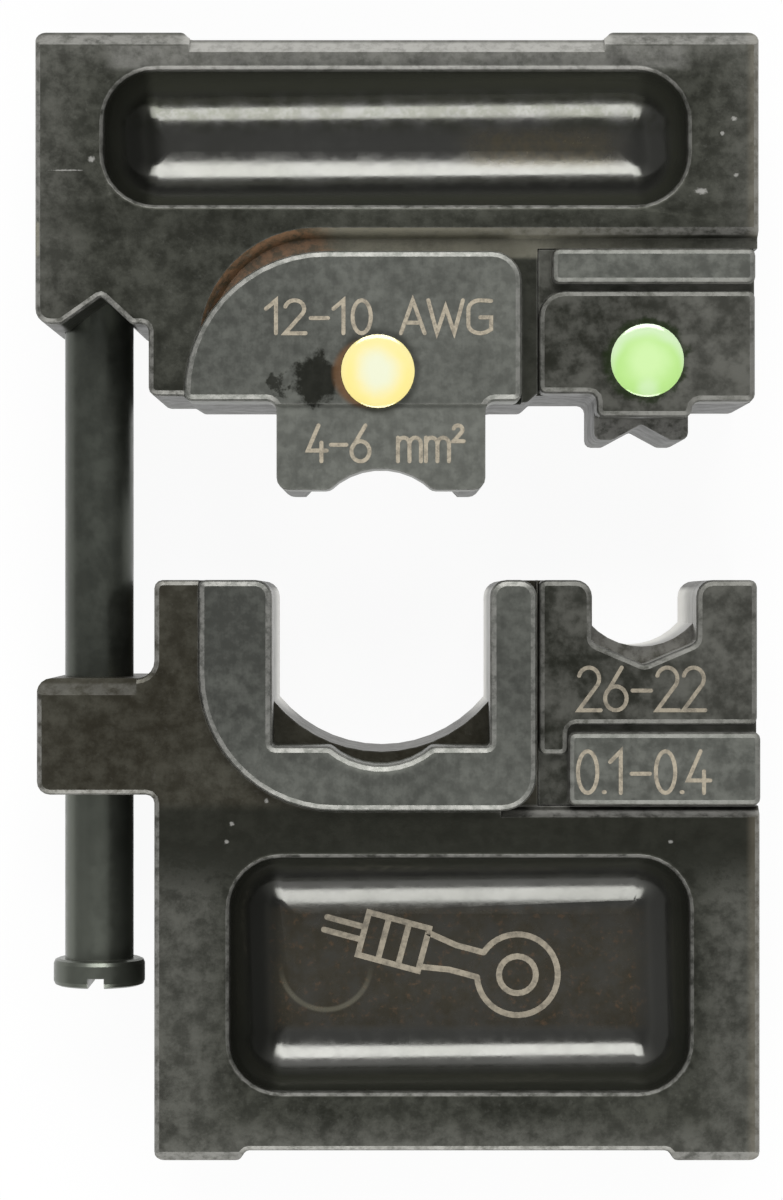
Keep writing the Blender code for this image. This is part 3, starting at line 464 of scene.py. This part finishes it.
def nest_wall_light(finish, look, point, level):
    """The upright walls of the two nests: bare steel where crimping rubs them, under painted light
    that grows brighter towards the back face.
    """
    x, y, z = point
    large, small = (
        finish.fall((x - middle).math("ABSOLUTE"), half + 0.05, half + 0.20)
        for middle, half in NESTS
    )
    upright = finish.fall(level, 0.15, 0.45)
    heights = finish.band(y, -5.6, -4.4, 0.7, 0.9)
    # painted light: the walls turn paler towards the back face, near the floor
    behind = finish.fall(z, 1.5, 7.0)
    bright = finish.blend(behind, look.bare, shaded(look.bare, 2.2))
    return large.larger(small) * upright * heights * 0.85, bright


def nest_ledge(finish, x, y, z):
    """The front of the rear layer in the small nest, rubbed by the terminals."""
    layer = finish.band(z, *(REAR_LAYER + gap for gap in (-0.10, -0.05, 0.05, 0.10)))
    return layer * finish.step(x, 7.4, 7.8) * finish.step(y, -4.2, -3.9)


def pocket_mask(finish, x, y, z, pocket):
    """1 on the walls and floor of the pocket in the front face, 0 elsewhere."""
    left, right, low, high = pocket
    soft = 0.1
    across = finish.band(x, left - soft, left + soft, right - soft, right + soft)
    along = finish.band(y, low - soft, low + soft, high - soft, high + soft)
    return across * along * finish.fall(z, FRONT_FACE - 0.30, FRONT_FACE - 0.05)


def lug_chamfer(finish, x, y):
    """Most of the wide bevel on the lug's upper side, which is still black."""
    return finish.fall(x, -10.4, -10.2) * finish.band(y, -4.4, -4.3, -3.3, -3.2) * 0.7


def nick_mask(finish, place, z, nicks):
    """Small bright nicks and scratches in the front face, from their places and half sizes."""
    ragged = (finish.noise(place, 7.0, 3.0, 0.7) - 0.5) * 1.6
    spots = []
    for x, y, half_width, half_height in nicks:
        away = finish.vector("SUBTRACT", place, (*from_photo(x, y), 0.0))
        scaled = finish.vector("MULTIPLY", away, (1 / half_width, 1 / half_height, 0.0))
        reach = finish.distance(scaled, (0.0, 0.0)) + ragged
        spots.append(finish.fall(reach, 0.4, 1.0))
    face = finish.step(z, FRONT_FACE - 0.10, FRONT_FACE - 0.05)
    return functools.reduce(Value.larger, spots) * face * 0.8


def rim_wear(finish, level, z):
    """Rounded rims of the front and back faces, and a little on other edges."""
    middle = FRONT_FACE / 2
    near_face = finish.step((z - middle).math("ABSOLUTE"), middle - 0.55, middle - 0.40)
    rims = finish.fall(level, 0.95, 0.985) * near_face
    return rims.larger(finish.edges(0.16 * MM) * 0.5)


def upper_stain(finish, look, place, shifted, level, colour):
    """Rust round the large punch plate's swept corner, pale dirt in its groove with a painted
    highlight on the groove's sloped wall, film in the pocket.
    """
    x, y, z = finish.axes(place)
    corner = (-6.4, 13.9)
    film_middle = (6.2, 19.45)
    near = finish.fall(finish.distance(place, corner), 2.8, 4.3)
    patchy = finish.step(finish.noise(shifted, 1.6, 4.0, 0.65), 0.24, 0.44)
    streaks = finish.step(finish.noise(shifted, 0.9, 5.0, 0.7), 0.30, 0.60)
    pale = finish.step(finish.noise(shifted, 2.4, 5.0, 0.7), 0.36, 0.64)
    shelf = finish.band(z, 9.20, 9.28, 9.97, FRONT_FACE)
    below_pocket = finish.fall(y, 15.7, 16.0)
    slope_highlight = finish.fall(level, 0.7, 0.9)
    left_part = finish.fall(x, 0.0, 15.0)
    groove = shelf * finish.step(y, 14.3, 14.5) * below_pocket * left_part
    # painted highlight: the pale dirt colour is laid thicker on the groove's sloped wall
    groove = groove * (0.40 + streaks * 0.35 + slope_highlight * 0.25)
    rusty = near * patchy * shelf * below_pocket
    along = finish.fall((x - film_middle[0]).math("ABSOLUTE"), 2.0, 4.2)
    across = finish.fall((y - film_middle[1]).math("ABSOLUTE"), 0.3, 1.1)
    film = along * across * pocket_mask(finish, x, y, z, UPPER_POCKET) * (0.35 + pale * 0.35)
    colour = finish.layers(
        colour,
        (groove, look.grime_and_highlight),
        (rusty, finish.blend(pale, look.rust_dark, look.tan_rust_and_shadow)),
        (film, shaded(look.film, 3.0)),
    )
    return colour, rusty.larger(groove).larger(film * 0.6)


def lower_stain(finish, look, place, shifted, level, colour):
    """Brown film on the pocket's floor, with the edge of an old round drop."""
    x, y, z = finish.axes(place)
    left, right, low, high = LOWER_POCKET
    across = finish.band(x, left + 1.2, left + 2.4, right - 2.4, right - 1.2)
    along = finish.band(y, low + 2.1, low + 2.6, high - 2.6, high - 2.1)
    floor = pocket_mask(finish, x, y, z, LOWER_POCKET) * across * along
    patchy = finish.step(finish.noise(shifted, 0.8, 6.0, 0.72), 0.30, 0.66)
    spots = finish.step(finish.noise(shifted, 3.0, 4.0, 0.7), 0.55, 0.72)
    drop = from_photo(324, 974)
    drop_radius = 1.95
    off_edge = (finish.distance(place, drop) - drop_radius).math("ABSOLUTE")
    ring = finish.fall(off_edge, 0.04, 0.16) * finish.fall(y, drop[1] - 1.6, drop[1] + 0.2)
    colour = finish.layers(
        colour,
        (floor * (0.45 + patchy * 0.45), look.film),
        (floor * spots * 0.30, look.tan_rust_and_shadow),
        (floor * ring * 0.45, look.grime_and_highlight),
    )
    return colour, floor * (0.35 + patchy * 0.30)


def ground_finish(name, look, seed, shade, stain=None):
    """Ground and lightly blackened steel, with fine grinding lines and pale rims."""
    finish = Finish(name)
    place = finish.place()
    x, y, z = finish.axes(place)
    shifted = finish.shift(place, seed)
    stretched = finish.vector("MULTIPLY", shifted, (5.0, 0.5, 0.5))
    lines = finish.noise(stretched, 1.5, 4.0, 0.7)
    clouds = finish.step(finish.noise(shifted, 0.35, 4.0, 0.6), 0.34, 0.68)
    mottle = finish.step(finish.noise(shifted, 2.0, 5.0, 0.65), 0.34, 0.68)
    scuffs = finish.step(finish.noise(shifted, 2.4, 4.0, 0.7), 0.34, 0.62)
    level = finish.lean()
    rims = rim_wear(finish, level, z)
    tone = (clouds * 0.28 + mottle * 0.22 + lines * 0.15 + shade(finish, x, y, z)).clamp()
    colour = finish.layers(
        finish.blend(tone, shaded(look.ground, 0.50), shaded(look.ground, 1.30)),
        (rims * (0.12 + scuffs * 0.45), look.bare),
        # painted light on the nest walls
        nest_wall_light(finish, look, (x, y, z), level),
    )
    if stain:
        colour = stain(finish, look, place, shifted, colour)
    return finish.surface(
        Base_Color=colour,
        Metallic=0.85,
        Roughness=0.34 + mottle * 0.08 + lines * 0.06 + rims * 0.13,
        Normal=finish.bump(lines * 0.5 + mottle * 0.5, 0.18, 0.012 * MM),
    )


def punch_shade(finish, x, y, z):
    """The large punch plate is paler on its right and on its tongue."""
    tongue = finish.fall(z, 10.45, 10.55)
    return finish.step(x, -7.0, 5.0) * 0.20 + tongue * 0.34 + 0.08


def nest_tone_and_highlight(finish, x, y, z):
    """The large nest plate is darker on its left arm and paler under the nest, with a painted
    highlight along the rim of its round hollow.
    """
    across = x - LARGE_HOLLOW[0]
    along = y - LARGE_HOLLOW[1]
    reach = (across * across + along * along) ** 0.5
    # painted highlight along the lower part of the round hollow's rim
    hollow = finish.band(reach, 3.1, 3.2, 3.5, 3.8) * finish.fall(y, -6.9, -6.4)
    sides = finish.step(x, -6.5, -3.0) * 0.14 + finish.fall(y, -8.0, -5.5) * 0.16
    return sides + hollow * 0.7 - 0.15


def dot_stain(finish, look, place, shifted, colour):
    """A dark ring round the yellow dot, black smudges beside it, and a brownish painted shadow on
    the dot's left side, between them.
    """
    dot_x, dot_y = dot_centre("yellow_size_dot")
    large_smudge = (-3.45, 9.1)
    small_smudge = (-5.0, 8.95)
    ring = finish.fall(finish.distance(place, (dot_x, dot_y)), 1.6, 1.95)
    ragged = (finish.noise(shifted, 1.5, 5.0, 0.65) - 0.5) * 2.0
    large = finish.fall(finish.distance(place, large_smudge) + ragged, 0.75, 1.15)
    small = finish.fall(finish.distance(place, small_smudge) + ragged, 0.25, 0.50)
    dark = (ring * 0.6).larger(large * 0.95).larger(small * 0.85)
    # painted shadow: a brownish patch on the yellow dot's left side
    painted_side_shadow = finish.fall(finish.distance(place, (dot_x - 0.5, dot_y - 0.1)), 1.25, 1.55)
    return finish.layers(
        colour, (dark, shaded(look.oxide_dark, 0.8)), (painted_side_shadow * 0.8, look.tan_rust_and_shadow)
    )


def dot_centre(name):
    """Middle of a size dot in millimetres."""
    low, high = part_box(name)
    return (low.x + high.x) / 2 / MM, (low.y + high.y) / 2 / MM


def small_plate_finish(look):
    """The small plates: blackened like the blocks, with paler raised strips."""
    finish = Finish("small_plate_oxide")
    place = finish.place()
    x, y, z = finish.axes(place)
    mottle = finish.step(finish.noise(place, 1.2, 6.0, 0.66), 0.34, 0.66)
    clouds = finish.step(finish.noise(place, 0.30, 3.0), 0.36, 0.64)
    scuffs = finish.step(finish.noise(place, 1.9, 4.0, 0.7), 0.30, 0.60)
    grain = finish.noise(place, 9.0, 2.0)
    level = finish.lean()
    rims = rim_wear(finish, level, z)
    tone = (mottle * 0.45 + clouds * 0.25 + finish.step(x, 9.0, 14.5) * 0.35).clamp()
    strip = finish.step(z, 9.86, 9.92)
    strip_colour = finish.blend(mottle, shaded(look.ground, 0.84), shaded(look.ground, 1.20))
    off_dot = finish.distance(place, dot_centre("green_size_dot")) + (mottle - 0.5) * 0.3
    colour = finish.layers(
        finish.blend(tone, shaded(look.oxide_dark, 1.2), look.worn),
        (strip * 0.85, strip_colour),
        (rims * (0.05 + scuffs * 0.32), look.bare),
        # painted light on the nest walls
        nest_wall_light(finish, look, (x, y, z), level),
        (finish.fall(off_dot, 1.6, 1.95) * 0.8, look.green_halo),
    )
    return finish.surface(
        Base_Color=colour,
        Metallic=0.85,
        Roughness=0.36 + mottle * 0.10 + rims * 0.22,
        Normal=finish.bump(mottle * 0.6 + grain * 0.4, 0.26, 0.018 * MM),
    )


def pin_finish(look):
    """Smooth black oxide on turned steel, with fine turning rings."""
    finish = Finish("pin_finish")
    place = finish.place()
    along = finish.axes(place)[1]
    turning = finish.noise(finish.vector("MULTIPLY", place, (0.15, 3.0, 0.15)), 1.6, 3.0)
    mottle = finish.step(finish.noise(place, 0.8, 5.0, 0.65), 0.36, 0.66)
    colour = finish.layers(
        finish.blend(mottle, shaded(look.pin, 0.8), look.pin),
        (finish.fall(along, -9.0, -3.0) * 0.7, shaded(look.pin, 1.6)),
        (finish.edges(0.12 * MM) * 0.4, look.bare),
    )
    return finish.surface(
        Base_Color=colour,
        Metallic=0.85,
        Roughness=0.28 + mottle * 0.10,
        Normal=finish.bump(turning, 0.12, 0.01 * MM),
    )


def enamel_finish(name, dot, rim, pale, enamel_reflection, reflection_share):
    """Glossy enamel, paler in the middle, with a painted reflection of the softboxes along its
    upper side and near its lower edge.
    """
    finish = Finish(name)
    place = finish.place()
    waves = finish.noise(place, 0.9, 2.0)
    dot_x, dot_y = dot_centre(dot)
    reach = finish.distance(place, (dot_x, dot_y)) + (waves - 0.5) * 0.5
    # painted reflection: a whitish band along the upper side and a patch near the lower edge
    upper = finish.step(finish.distance(place, (dot_x, dot_y - 0.45)) + waves * 0.3, 1.40, 1.90)
    lower = finish.fall(finish.distance(place, (dot_x, dot_y - 1.25)) + waves * 0.3, 0.25, 0.85)
    colour = finish.layers(
        finish.blend(finish.fall(reach, 0.35, 1.35), rim, pale),
        (upper.larger(lower * 0.7) * reflection_share, enamel_reflection),
    )
    return finish.surface(
        Base_Color=colour,
        Roughness=0.12,
        Coat_Weight=0.6,
        Normal=finish.bump(waves, 0.25, 0.06 * MM),
    )


def mark_finish(name, look, share):
    """Tan laser lines, uneven like scorched oxide, at a share of their full brightness."""
    finish = Finish(name)
    speckle = finish.step(finish.noise(finish.place(), 3.2, 5.0, 0.75), 0.30, 0.62)
    dark = shaded(look.mark, share * 0.48)
    colour = finish.blend(speckle, dark, shaded(look.mark, share))
    return finish.surface(Base_Color=colour, Metallic=0.0, Roughness=0.62)


# Pieces


def dress(names, material):
    """Give CAD nodes a finish, and shading that is smooth over rims and flat on faces."""
    corner_gap = 1e-6
    sharp_angle = math.radians(20)
    face_weight = 90
    for name in names:
        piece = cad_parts[name]
        piece.data.materials.clear()
        piece.data.materials.append(material)
        weld = piece.modifiers.new("Join corners", "WELD")
        weld.merge_threshold = corner_gap
        split = piece.modifiers.new("Sharp edges", "EDGE_SPLIT")
        split.split_angle = sharp_angle
        smooth = piece.modifiers.new("Face normals", "WEIGHTED_NORMAL")
        smooth.weight = face_weight
        smooth.keep_sharp = True
        for face in piece.data.polygons:
            face.use_smooth = True


class Skin:
    """The surface of a CAD node, as a mark that lies on it needs it."""

    def __init__(self, node):
        self.node = node
        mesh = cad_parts[node].data
        corners = [vertex.co for vertex in mesh.vertices]
        faces = [tuple(face.vertices) for face in mesh.polygons]
        self.tree = BVHTree.FromPolygons(corners, faces)

    def height(self, x, y):
        """Height of the surface as seen from above."""
        well_above = 100 * MM
        found = self.tree.ray_cast(Vector((x, y, well_above)), Vector((0, 0, -1)))[0]
        if found is None:
            raise ValueError(f"{self.node} has no surface at {x / MM:.2f}, {y / MM:.2f}")
        return found.z


def arc(centre_x, centre_y, radius_x, radius_y, start, end, steps):
    """Points of an elliptical arc, in degrees."""
    angles = [math.radians(start + (end - start) * step / steps) for step in range(steps + 1)]
    return [
        (centre_x + radius_x * math.cos(angle), centre_y + radius_y * math.sin(angle))
        for angle in angles
    ]


# Lines of each sign in a cell that is 1 high, with the width that it takes
SIGNS = {
    "0": (0.50, [arc(0.24, 0.5, 0.20, 0.5, 0, 360, 24)]),
    "1": (0.42, [[(0.04, 0.74), (0.26, 1.0), (0.26, 0.0)]]),
    "2": (0.54, [[*arc(0.25, 0.74, 0.21, 0.26, 165, -32, 12), (0.04, 0.0), (0.49, 0.0)]]),
    "4": (0.54, [[(0.30, 1.0), (0.04, 0.30), (0.50, 0.30)], [(0.37, 0.52), (0.37, 0.0)]]),
    "6": (0.54, [[(0.38, 1.0), (0.07, 0.40)], arc(0.26, 0.28, 0.22, 0.28, 0, 360, 24)]),
    "-": (0.52, [[(0.06, 0.46), (0.44, 0.46)]]),
    ".": (0.16, [[(0.07, 0.02), (0.09, 0.02)]]),
    " ": (0.58, []),
    "A": (0.60, [[(0.02, 0.0), (0.28, 1.0), (0.54, 0.0)], [(0.11, 0.32), (0.45, 0.32)]]),
    "W": (0.86, [[(0.02, 1.0), (0.21, 0.0), (0.40, 0.80), (0.59, 0.0), (0.78, 1.0)]]),
    "G": (
        0.60,
        [[(0.54, 0.98), *arc(0.30, 0.72, 0.26, 0.28, 90, 180, 6)]
         + [*arc(0.30, 0.26, 0.26, 0.26, 180, 300, 8), (0.54, 0.12), (0.54, 0.48), (0.30, 0.48)]],
    ),
    "m": (
        0.68,
        [
            [(0.05, 0.0), (0.05, 0.66)],
            [*arc(0.19, 0.48, 0.14, 0.18, 175, 0, 8), (0.33, 0.0)],
            [*arc(0.47, 0.48, 0.14, 0.18, 175, 0, 8), (0.61, 0.0)],
        ],
    ),
    "²": (0.34, [[*arc(0.15, 0.88, 0.11, 0.12, 165, -32, 8), (0.04, 0.56), (0.29, 0.56)]]),
}


def words_lines(words, left, right, base, height):
    """The lines of a row of signs, spread between two sides."""
    widths = [SIGNS[sign][0] for sign in words]
    stretch = (right - left) / sum(widths)
    lines = []
    start = left
    for sign, width in zip(words, widths):
        for line in SIGNS[sign][1]:
            lines.append([(start + x * stretch, base + y * height) for x, y in line])
        start += width * stretch
    return lines


def ribbon(bm, line, width):
    """A flat ribbon along a line, with mitred joints and, on an open line, round ends."""
    half = width / 2
    mitre_limit = 0.35
    closed = math.dist(line[0], line[-1]) < 1e-9
    points = [Vector(point) for point in (line[:-1] if closed else line)]
    count = len(points)
    rails = ([], [])
    for index, point in enumerate(points):
        before = points[index - 1] if closed or index else None
        after = points[(index + 1) % count] if closed or index + 1 < count else None
        runs = [
            (end - start).normalized()
            for start, end in ((before, point), (point, after))
            if start is not None and end is not None
        ]
        sides = [Vector((-run.y, run.x)) for run in runs]
        side = sum(sides, Vector((0.0, 0.0))).normalized()
        reach = half / max(mitre_limit, side.dot(sides[0]))
        for rail, sign in zip(rails, (1, -1)):
            rail.append(bm.verts.new((*(point + side * reach * sign), 0.0)))
    last = count if closed else count - 1
    for index in range(last):
        follow = (index + 1) % count
        bm.faces.new((rails[0][index], rails[1][index], rails[1][follow], rails[0][follow]))
    if not closed:
        add_round_end(bm, rails[0][0], rails[1][0], points[0], half)
        add_round_end(bm, rails[1][-1], rails[0][-1], points[-1], half)


def add_round_end(bm, start, end, centre, half):
    """Half a disc that closes a ribbon between the last points of its two sides."""
    steps = 6
    first = math.atan2(start.co.y - centre.y, start.co.x - centre.x)
    rim = []
    for step in range(1, steps):
        angle = first + math.pi * step / steps
        offset = Vector((math.cos(angle), math.sin(angle))) * half
        rim.append(bm.verts.new((*(centre + offset), 0.0)))
    bm.faces.new((start, *rim, end))


def fine_line(line, step):
    """The same line with points at most a step apart."""
    points = [line[0]]
    for start, end in zip(line, line[1:]):
        parts = max(1, math.ceil(math.dist(start, end) / step))
        for part in range(1, parts + 1):
            share = part / parts
            points.append(tuple(a + (b - a) * share for a, b in zip(start, end)))
    return points


def add_mark(name, node, body, lines, material, line_width, lift):
    """Lay lines, given in millimetres, on the surface of a node."""
    skin = Skin(node)
    point_step = 0.3
    crossing_lift = 0.002 * MM
    bm = bmesh.new()
    for number, line in enumerate(lines):
        old = set(bm.verts)
        ribbon(bm, [(x * MM, y * MM) for x, y in fine_line(line, point_step)], line_width)
        for vert in bm.verts:
            if vert not in old:
                vert.co.z = skin.height(vert.co.x, vert.co.y) + lift + number % 3 * crossing_lift
    for face in bm.faces:
        face.normal_update()
        if face.normal.z < 0:
            face.normal_flip()
    mesh = bpy.data.meshes.new(name)
    bm.to_mesh(mesh)
    bm.free()
    mesh.materials.append(material)
    mark = bpy.data.objects.new(name, mesh)
    bpy.context.scene.collection.objects.link(mark)
    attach(mark, body)


def terminal_lines(centre, lean):
    """A plain ring terminal with its barrel and wire, seen from above."""
    wire_end = -5.6
    wire_half = 0.28
    barrel_start, barrel_end = (-3.9, -1.2)
    barrel_half = 0.95
    bead = 0.9
    neck_start = barrel_end + 1.3
    neck_half = 0.55
    ring_x = 3.0
    ring_radius = 1.75
    hole_radius = 0.8
    joint = math.degrees(math.asin(neck_half / ring_radius))
    touch = ring_x - ring_radius * math.cos(math.radians(joint))
    lines = [[(wire_end, y), (barrel_start, y)] for y in (wire_half, -wire_half)]
    lines.append(
        [
            (barrel_start, -barrel_half),
            (barrel_start, barrel_half),
            (barrel_end, barrel_half),
            (barrel_end, -barrel_half),
            (barrel_start, -barrel_half),
        ]
    )
    for x in (barrel_start + bead, barrel_end - bead):
        lines.append([(x, -barrel_half), (x, barrel_half)])
    for side in (1, -1):
        shoulder = (barrel_end, side * barrel_half * 0.8)
        lines.append([shoulder, (neck_start, side * neck_half), (touch, side * neck_half)])
    lines.append(arc(ring_x, 0.0, ring_radius, ring_radius, joint - 180, 180 - joint, 36))
    lines.append(arc(ring_x, 0.0, hole_radius, hole_radius, 0, 360, 24))
    cosine = math.cos(lean)
    sine = math.sin(lean)
    return [
        [
            (centre[0] + x * cosine - y * sine, centre[1] + x * sine + y * cosine)
            for x, y in line
        ]
        for line in lines
    ]


# Operators


class DIESET_OT_blocks(bpy.types.Operator):
    """Finish the two blackened blocks"""

    bl_idname = "dieset.blocks"
    bl_label = "Blocks"

    def execute(self, context):
        look = context.scene.die_set_finish
        beside_plate = 1.9
        upper = oxide_finish(
            "upper_oxide",
            look,
            seed=3.0,
            left=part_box("upper_block")[0].x / MM,
            handled=(3.0, 0.0),
            pocket=UPPER_POCKET,
            wall_share=2.4,
            stain=upper_stain,
            nicks=UPPER_NICKS,
        )
        lower = oxide_finish(
            "lower_oxide",
            look,
            seed=17.0,
            left=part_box("large_nest_plate")[0].x / MM - beside_plate,
            handled=(3.8, 1.4),
            pocket=LOWER_POCKET,
            wall_share=1.5,
            stain=lower_stain,
            nicks=LOWER_NICKS,
        )
        dress(["upper_block"], upper)
        dress(["lower_block"], lower)
        return {"FINISHED"}


class DIESET_OT_plates(bpy.types.Operator):
    """Finish the four front plates"""

    bl_idname = "dieset.plates"
    bl_label = "Plates"

    def execute(self, context):
        look = context.scene.die_set_finish
        punch = ground_finish("punch_ground", look, seed=5.0, shade=punch_shade, stain=dot_stain)
        nest = ground_finish("nest_ground", look, seed=23.0, shade=nest_tone_and_highlight)
        dress(["large_punch_plate"], punch)
        dress(["large_nest_plate"], nest)
        dress(["small_punch_plate", "small_nest_plate"], small_plate_finish(look))
        return {"FINISHED"}


class DIESET_OT_pins(bpy.types.Operator):
    """Finish the guide pin and the dowels"""

    bl_idname = "dieset.pins"
    bl_label = "Pins"

    def execute(self, context):
        material = pin_finish(context.scene.die_set_finish)
        dowels = [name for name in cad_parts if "dowel" in name]
        dress(["guide_pin", *dowels], material)
        return {"FINISHED"}


class DIESET_OT_dots(bpy.types.Operator):
    """Finish the enamel size dots"""

    bl_idname = "dieset.dots"
    bl_label = "Size dots"

    def execute(self, context):
        look = context.scene.die_set_finish
        yellow = enamel_finish(
            "yellow_gloss",
            "yellow_size_dot",
            rim=look.yellow,
            pale=look.yellow_pale,
            enamel_reflection=look.enamel_reflection,
            reflection_share=0.15,
        )
        green = enamel_finish(
            "green_gloss",
            "green_size_dot",
            rim=look.green,
            pale=look.green_pale,
            enamel_reflection=look.enamel_reflection,
            reflection_share=0.55,
        )
        dress(["yellow_size_dot"], yellow)
        dress(["green_size_dot"], green)
        return {"FINISHED"}


class DIESET_OT_marks(bpy.types.Operator):
    """Lay the size marks on the plates"""

    bl_idname = "dieset.marks"
    bl_label = "Size marks"

    def execute(self, context):
        size = context.scene.die_set_marks
        look = context.scene.die_set_finish
        for name, node, body, words, start, end, share in SIZE_MARKS:
            material = mark_finish(name, look, share)
            left, base = from_photo(*start)
            right, top = from_photo(*end)
            lines = words_lines(words, left, right, base, top - base)
            add_mark(name, node, body, lines, material, size.line, size.lift)
        return {"FINISHED"}


class DIESET_OT_symbol(bpy.types.Operator):
    """Lay a plain ring terminal symbol in the lower pocket"""

    bl_idname = "dieset.symbol"
    bl_label = "Terminal symbol"

    def execute(self, context):
        size = context.scene.die_set_marks
        look = context.scene.die_set_finish
        material = mark_finish("terminal_symbol", look, share=0.80)
        lines = terminal_lines(from_photo(*SYMBOL_PLACE), lean=math.radians(-15))
        width = size.line * 1.5
        add_mark("terminal_symbol", "lower_block", LOWER, lines, material, width, size.lift)
        return {"FINISHED"}


class DIESET_OT_studio(bpy.types.Operator):
    """Make the floor, the softboxes, the surroundings and the camera"""

    bl_idname = "dieset.studio"
    bl_label = "Studio"

    def execute(self, context):
        studio = context.scene.die_set_studio
        add_floor()
        add_surroundings(context.scene)
        add_softbox("far", studio, side=1, share=1.1)
        add_softbox("near", studio, side=-1, share=0.9)
        add_camera(context.scene, studio)
        context.scene.view_settings.view_transform = "Standard"
        return {"FINISHED"}


# The studio


def add_floor():
    """A pale floor just under the die set, white where it is seen."""
    reach = 3.0
    gap = 0.02 * MM
    seen_share = 0.94
    mesh = bpy.data.meshes.new("floor")
    corners = [(-reach, -reach, 0), (reach, -reach, 0), (reach, reach, 0), (-reach, reach, 0)]
    mesh.from_pydata(corners, [], [(0, 1, 2, 3)])
    floor = bpy.data.objects.new("floor", mesh)
    floor.location.z = -gap
    bpy.context.scene.collection.objects.link(floor)
    finish = Finish("floor_white")
    material = finish.surface(Base_Color=(0.82, 0.82, 0.81), Roughness=0.8)
    lit = Value(finish, finish.shader.outputs[0])
    white = finish.add("ShaderNodeEmission", None, {"Color": (1.0, 1.0, 1.0), "Strength": 1.0})
    seen = seen_directly(finish) * seen_share
    mixed = finish.add("ShaderNodeMixShader", None, {0: seen, 1: lit, 2: white})
    output = next(node for node in finish.tree.nodes if node.type == "OUTPUT_MATERIAL")
    finish.fill(output.inputs["Surface"], mixed)
    mesh.materials.append(material)


def seen_directly(nodes):
    """1 for camera, glossy and transmission rays, 0 for rays that carry light to the pieces."""
    rays = ("Is Camera Ray", "Is Glossy Ray", "Is Transmission Ray")
    camera, glossy, through = (nodes.add("ShaderNodeLightPath", output=ray) for ray in rays)
    return camera.larger(glossy).larger(through)


def add_surroundings(scene):
    """A plain world: white where it is seen, in mirrors dim overhead and at the two sides."""
    ceiling_dim = 0.68
    left_dim, right_extra = (0.60, 0.15)
    ambient = 0.40
    world = bpy.data.worlds.new("studio")
    scene.world = world
    nodes = Nodes(world)
    seen = seen_directly(nodes)
    glossy = nodes.add("ShaderNodeLightPath", output="Is Glossy Ray")
    sideways, _, upward = nodes.axes(nodes.add("ShaderNodeTexCoord", output="Generated"))
    ceiling = nodes.step(upward, 0.35, 0.85) * ceiling_dim
    walls = nodes.step(sideways.math("ABSOLUTE"), 0.35, 0.85) * nodes.step(upward, -0.05, 0.10)
    walls = walls * (left_dim + nodes.step(sideways, -0.1, 0.1) * right_extra)
    strength = seen * (1.0 - ceiling.larger(walls) * glossy) + (1.0 - seen) * ambient
    background = world.node_tree.nodes["Background"]
    nodes.fill(background.inputs["Color"], (1.0, 1.0, 1.0))
    nodes.fill(background.inputs["Strength"], strength)


def add_softbox(name, studio, side, share):
    """A softbox beyond the upper die, side 1, or the lower die, side -1, turned to the set."""
    lamp = bpy.data.lights.new(f"softbox_{name}", "AREA")
    lamp.shape = "RECTANGLE"
    lamp.size = studio.lamp_width
    lamp.size_y = studio.lamp_height
    lamp.energy = studio.lamp_power * share
    box = bpy.data.objects.new(f"softbox_{name}", lamp)
    lean = studio.lamp_lean
    box.location = Vector((0, side * math.sin(lean), math.cos(lean))) * studio.lamp_distance
    box.rotation_euler = (-side * lean, 0, 0)
    box.visible_camera = False
    bpy.context.scene.collection.objects.link(box)


def add_camera(scene, studio):
    """A camera straight above, framed as the photograph."""
    front = cad_box[1].z
    tall = PHOTO_SIZE[1] * MM_PER_PIXEL * MM
    camera = bpy.data.cameras.new("camera")
    camera.sensor_width = 36.0
    camera.lens = camera.sensor_width * studio.camera_distance / tall
    camera.clip_start = 0.005
    camera.clip_end = 10.0
    holder = bpy.data.objects.new("camera", camera)
    x, y = from_photo(PHOTO_SIZE[0] / 2, PHOTO_SIZE[1] / 2)
    holder.location = (x * MM, y * MM, front + studio.camera_distance)
    scene.collection.objects.link(holder)
    scene.camera = holder


# Panel and registration

GROUPS = (DieSetFinish, DieSetMarks, DieSetStudio)
OPERATORS = (
    DIESET_OT_blocks,
    DIESET_OT_plates,
    DIESET_OT_pins,
    DIESET_OT_dots,
    DIESET_OT_marks,
    DIESET_OT_symbol,
    DIESET_OT_studio,
)


class DIESET_PT_panel(bpy.types.Panel):
    """Lists the operators and their sizes and colours"""

    bl_idname = "DIESET_PT_panel"
    bl_label = "Die Set"
    bl_space_type = "VIEW_3D"
    bl_region_type = "UI"
    bl_category = "Die Set"

    def draw(self, context):
        layout = self.layout
        for operator in OPERATORS:
            layout.operator(operator.bl_idname)
        for group in ("die_set_finish", "die_set_marks", "die_set_studio"):
            box = layout.box()
            values = getattr(context.scene, group)
            for name in values.__annotations__:
                box.prop(values, name)


def register():
    for made in (*GROUPS, *OPERATORS, DIESET_PT_panel):
        bpy.utils.register_class(made)
    bpy.types.Scene.die_set_finish = PointerProperty(type=DieSetFinish)
    bpy.types.Scene.die_set_marks = PointerProperty(type=DieSetMarks)
    bpy.types.Scene.die_set_studio = PointerProperty(type=DieSetStudio)


def unregister():
    del bpy.types.Scene.die_set_studio
    del bpy.types.Scene.die_set_marks
    del bpy.types.Scene.die_set_finish
    for made in reversed((*GROUPS, *OPERATORS, DIESET_PT_panel)):
        bpy.utils.unregister_class(made)


def main():
    register()
    bpy.ops.dieset.blocks()
    bpy.ops.dieset.plates()
    bpy.ops.dieset.pins()
    bpy.ops.dieset.dots()
    bpy.ops.dieset.marks()
    bpy.ops.dieset.symbol()
    bpy.ops.dieset.studio()


if __name__ == "__main__":
    main()
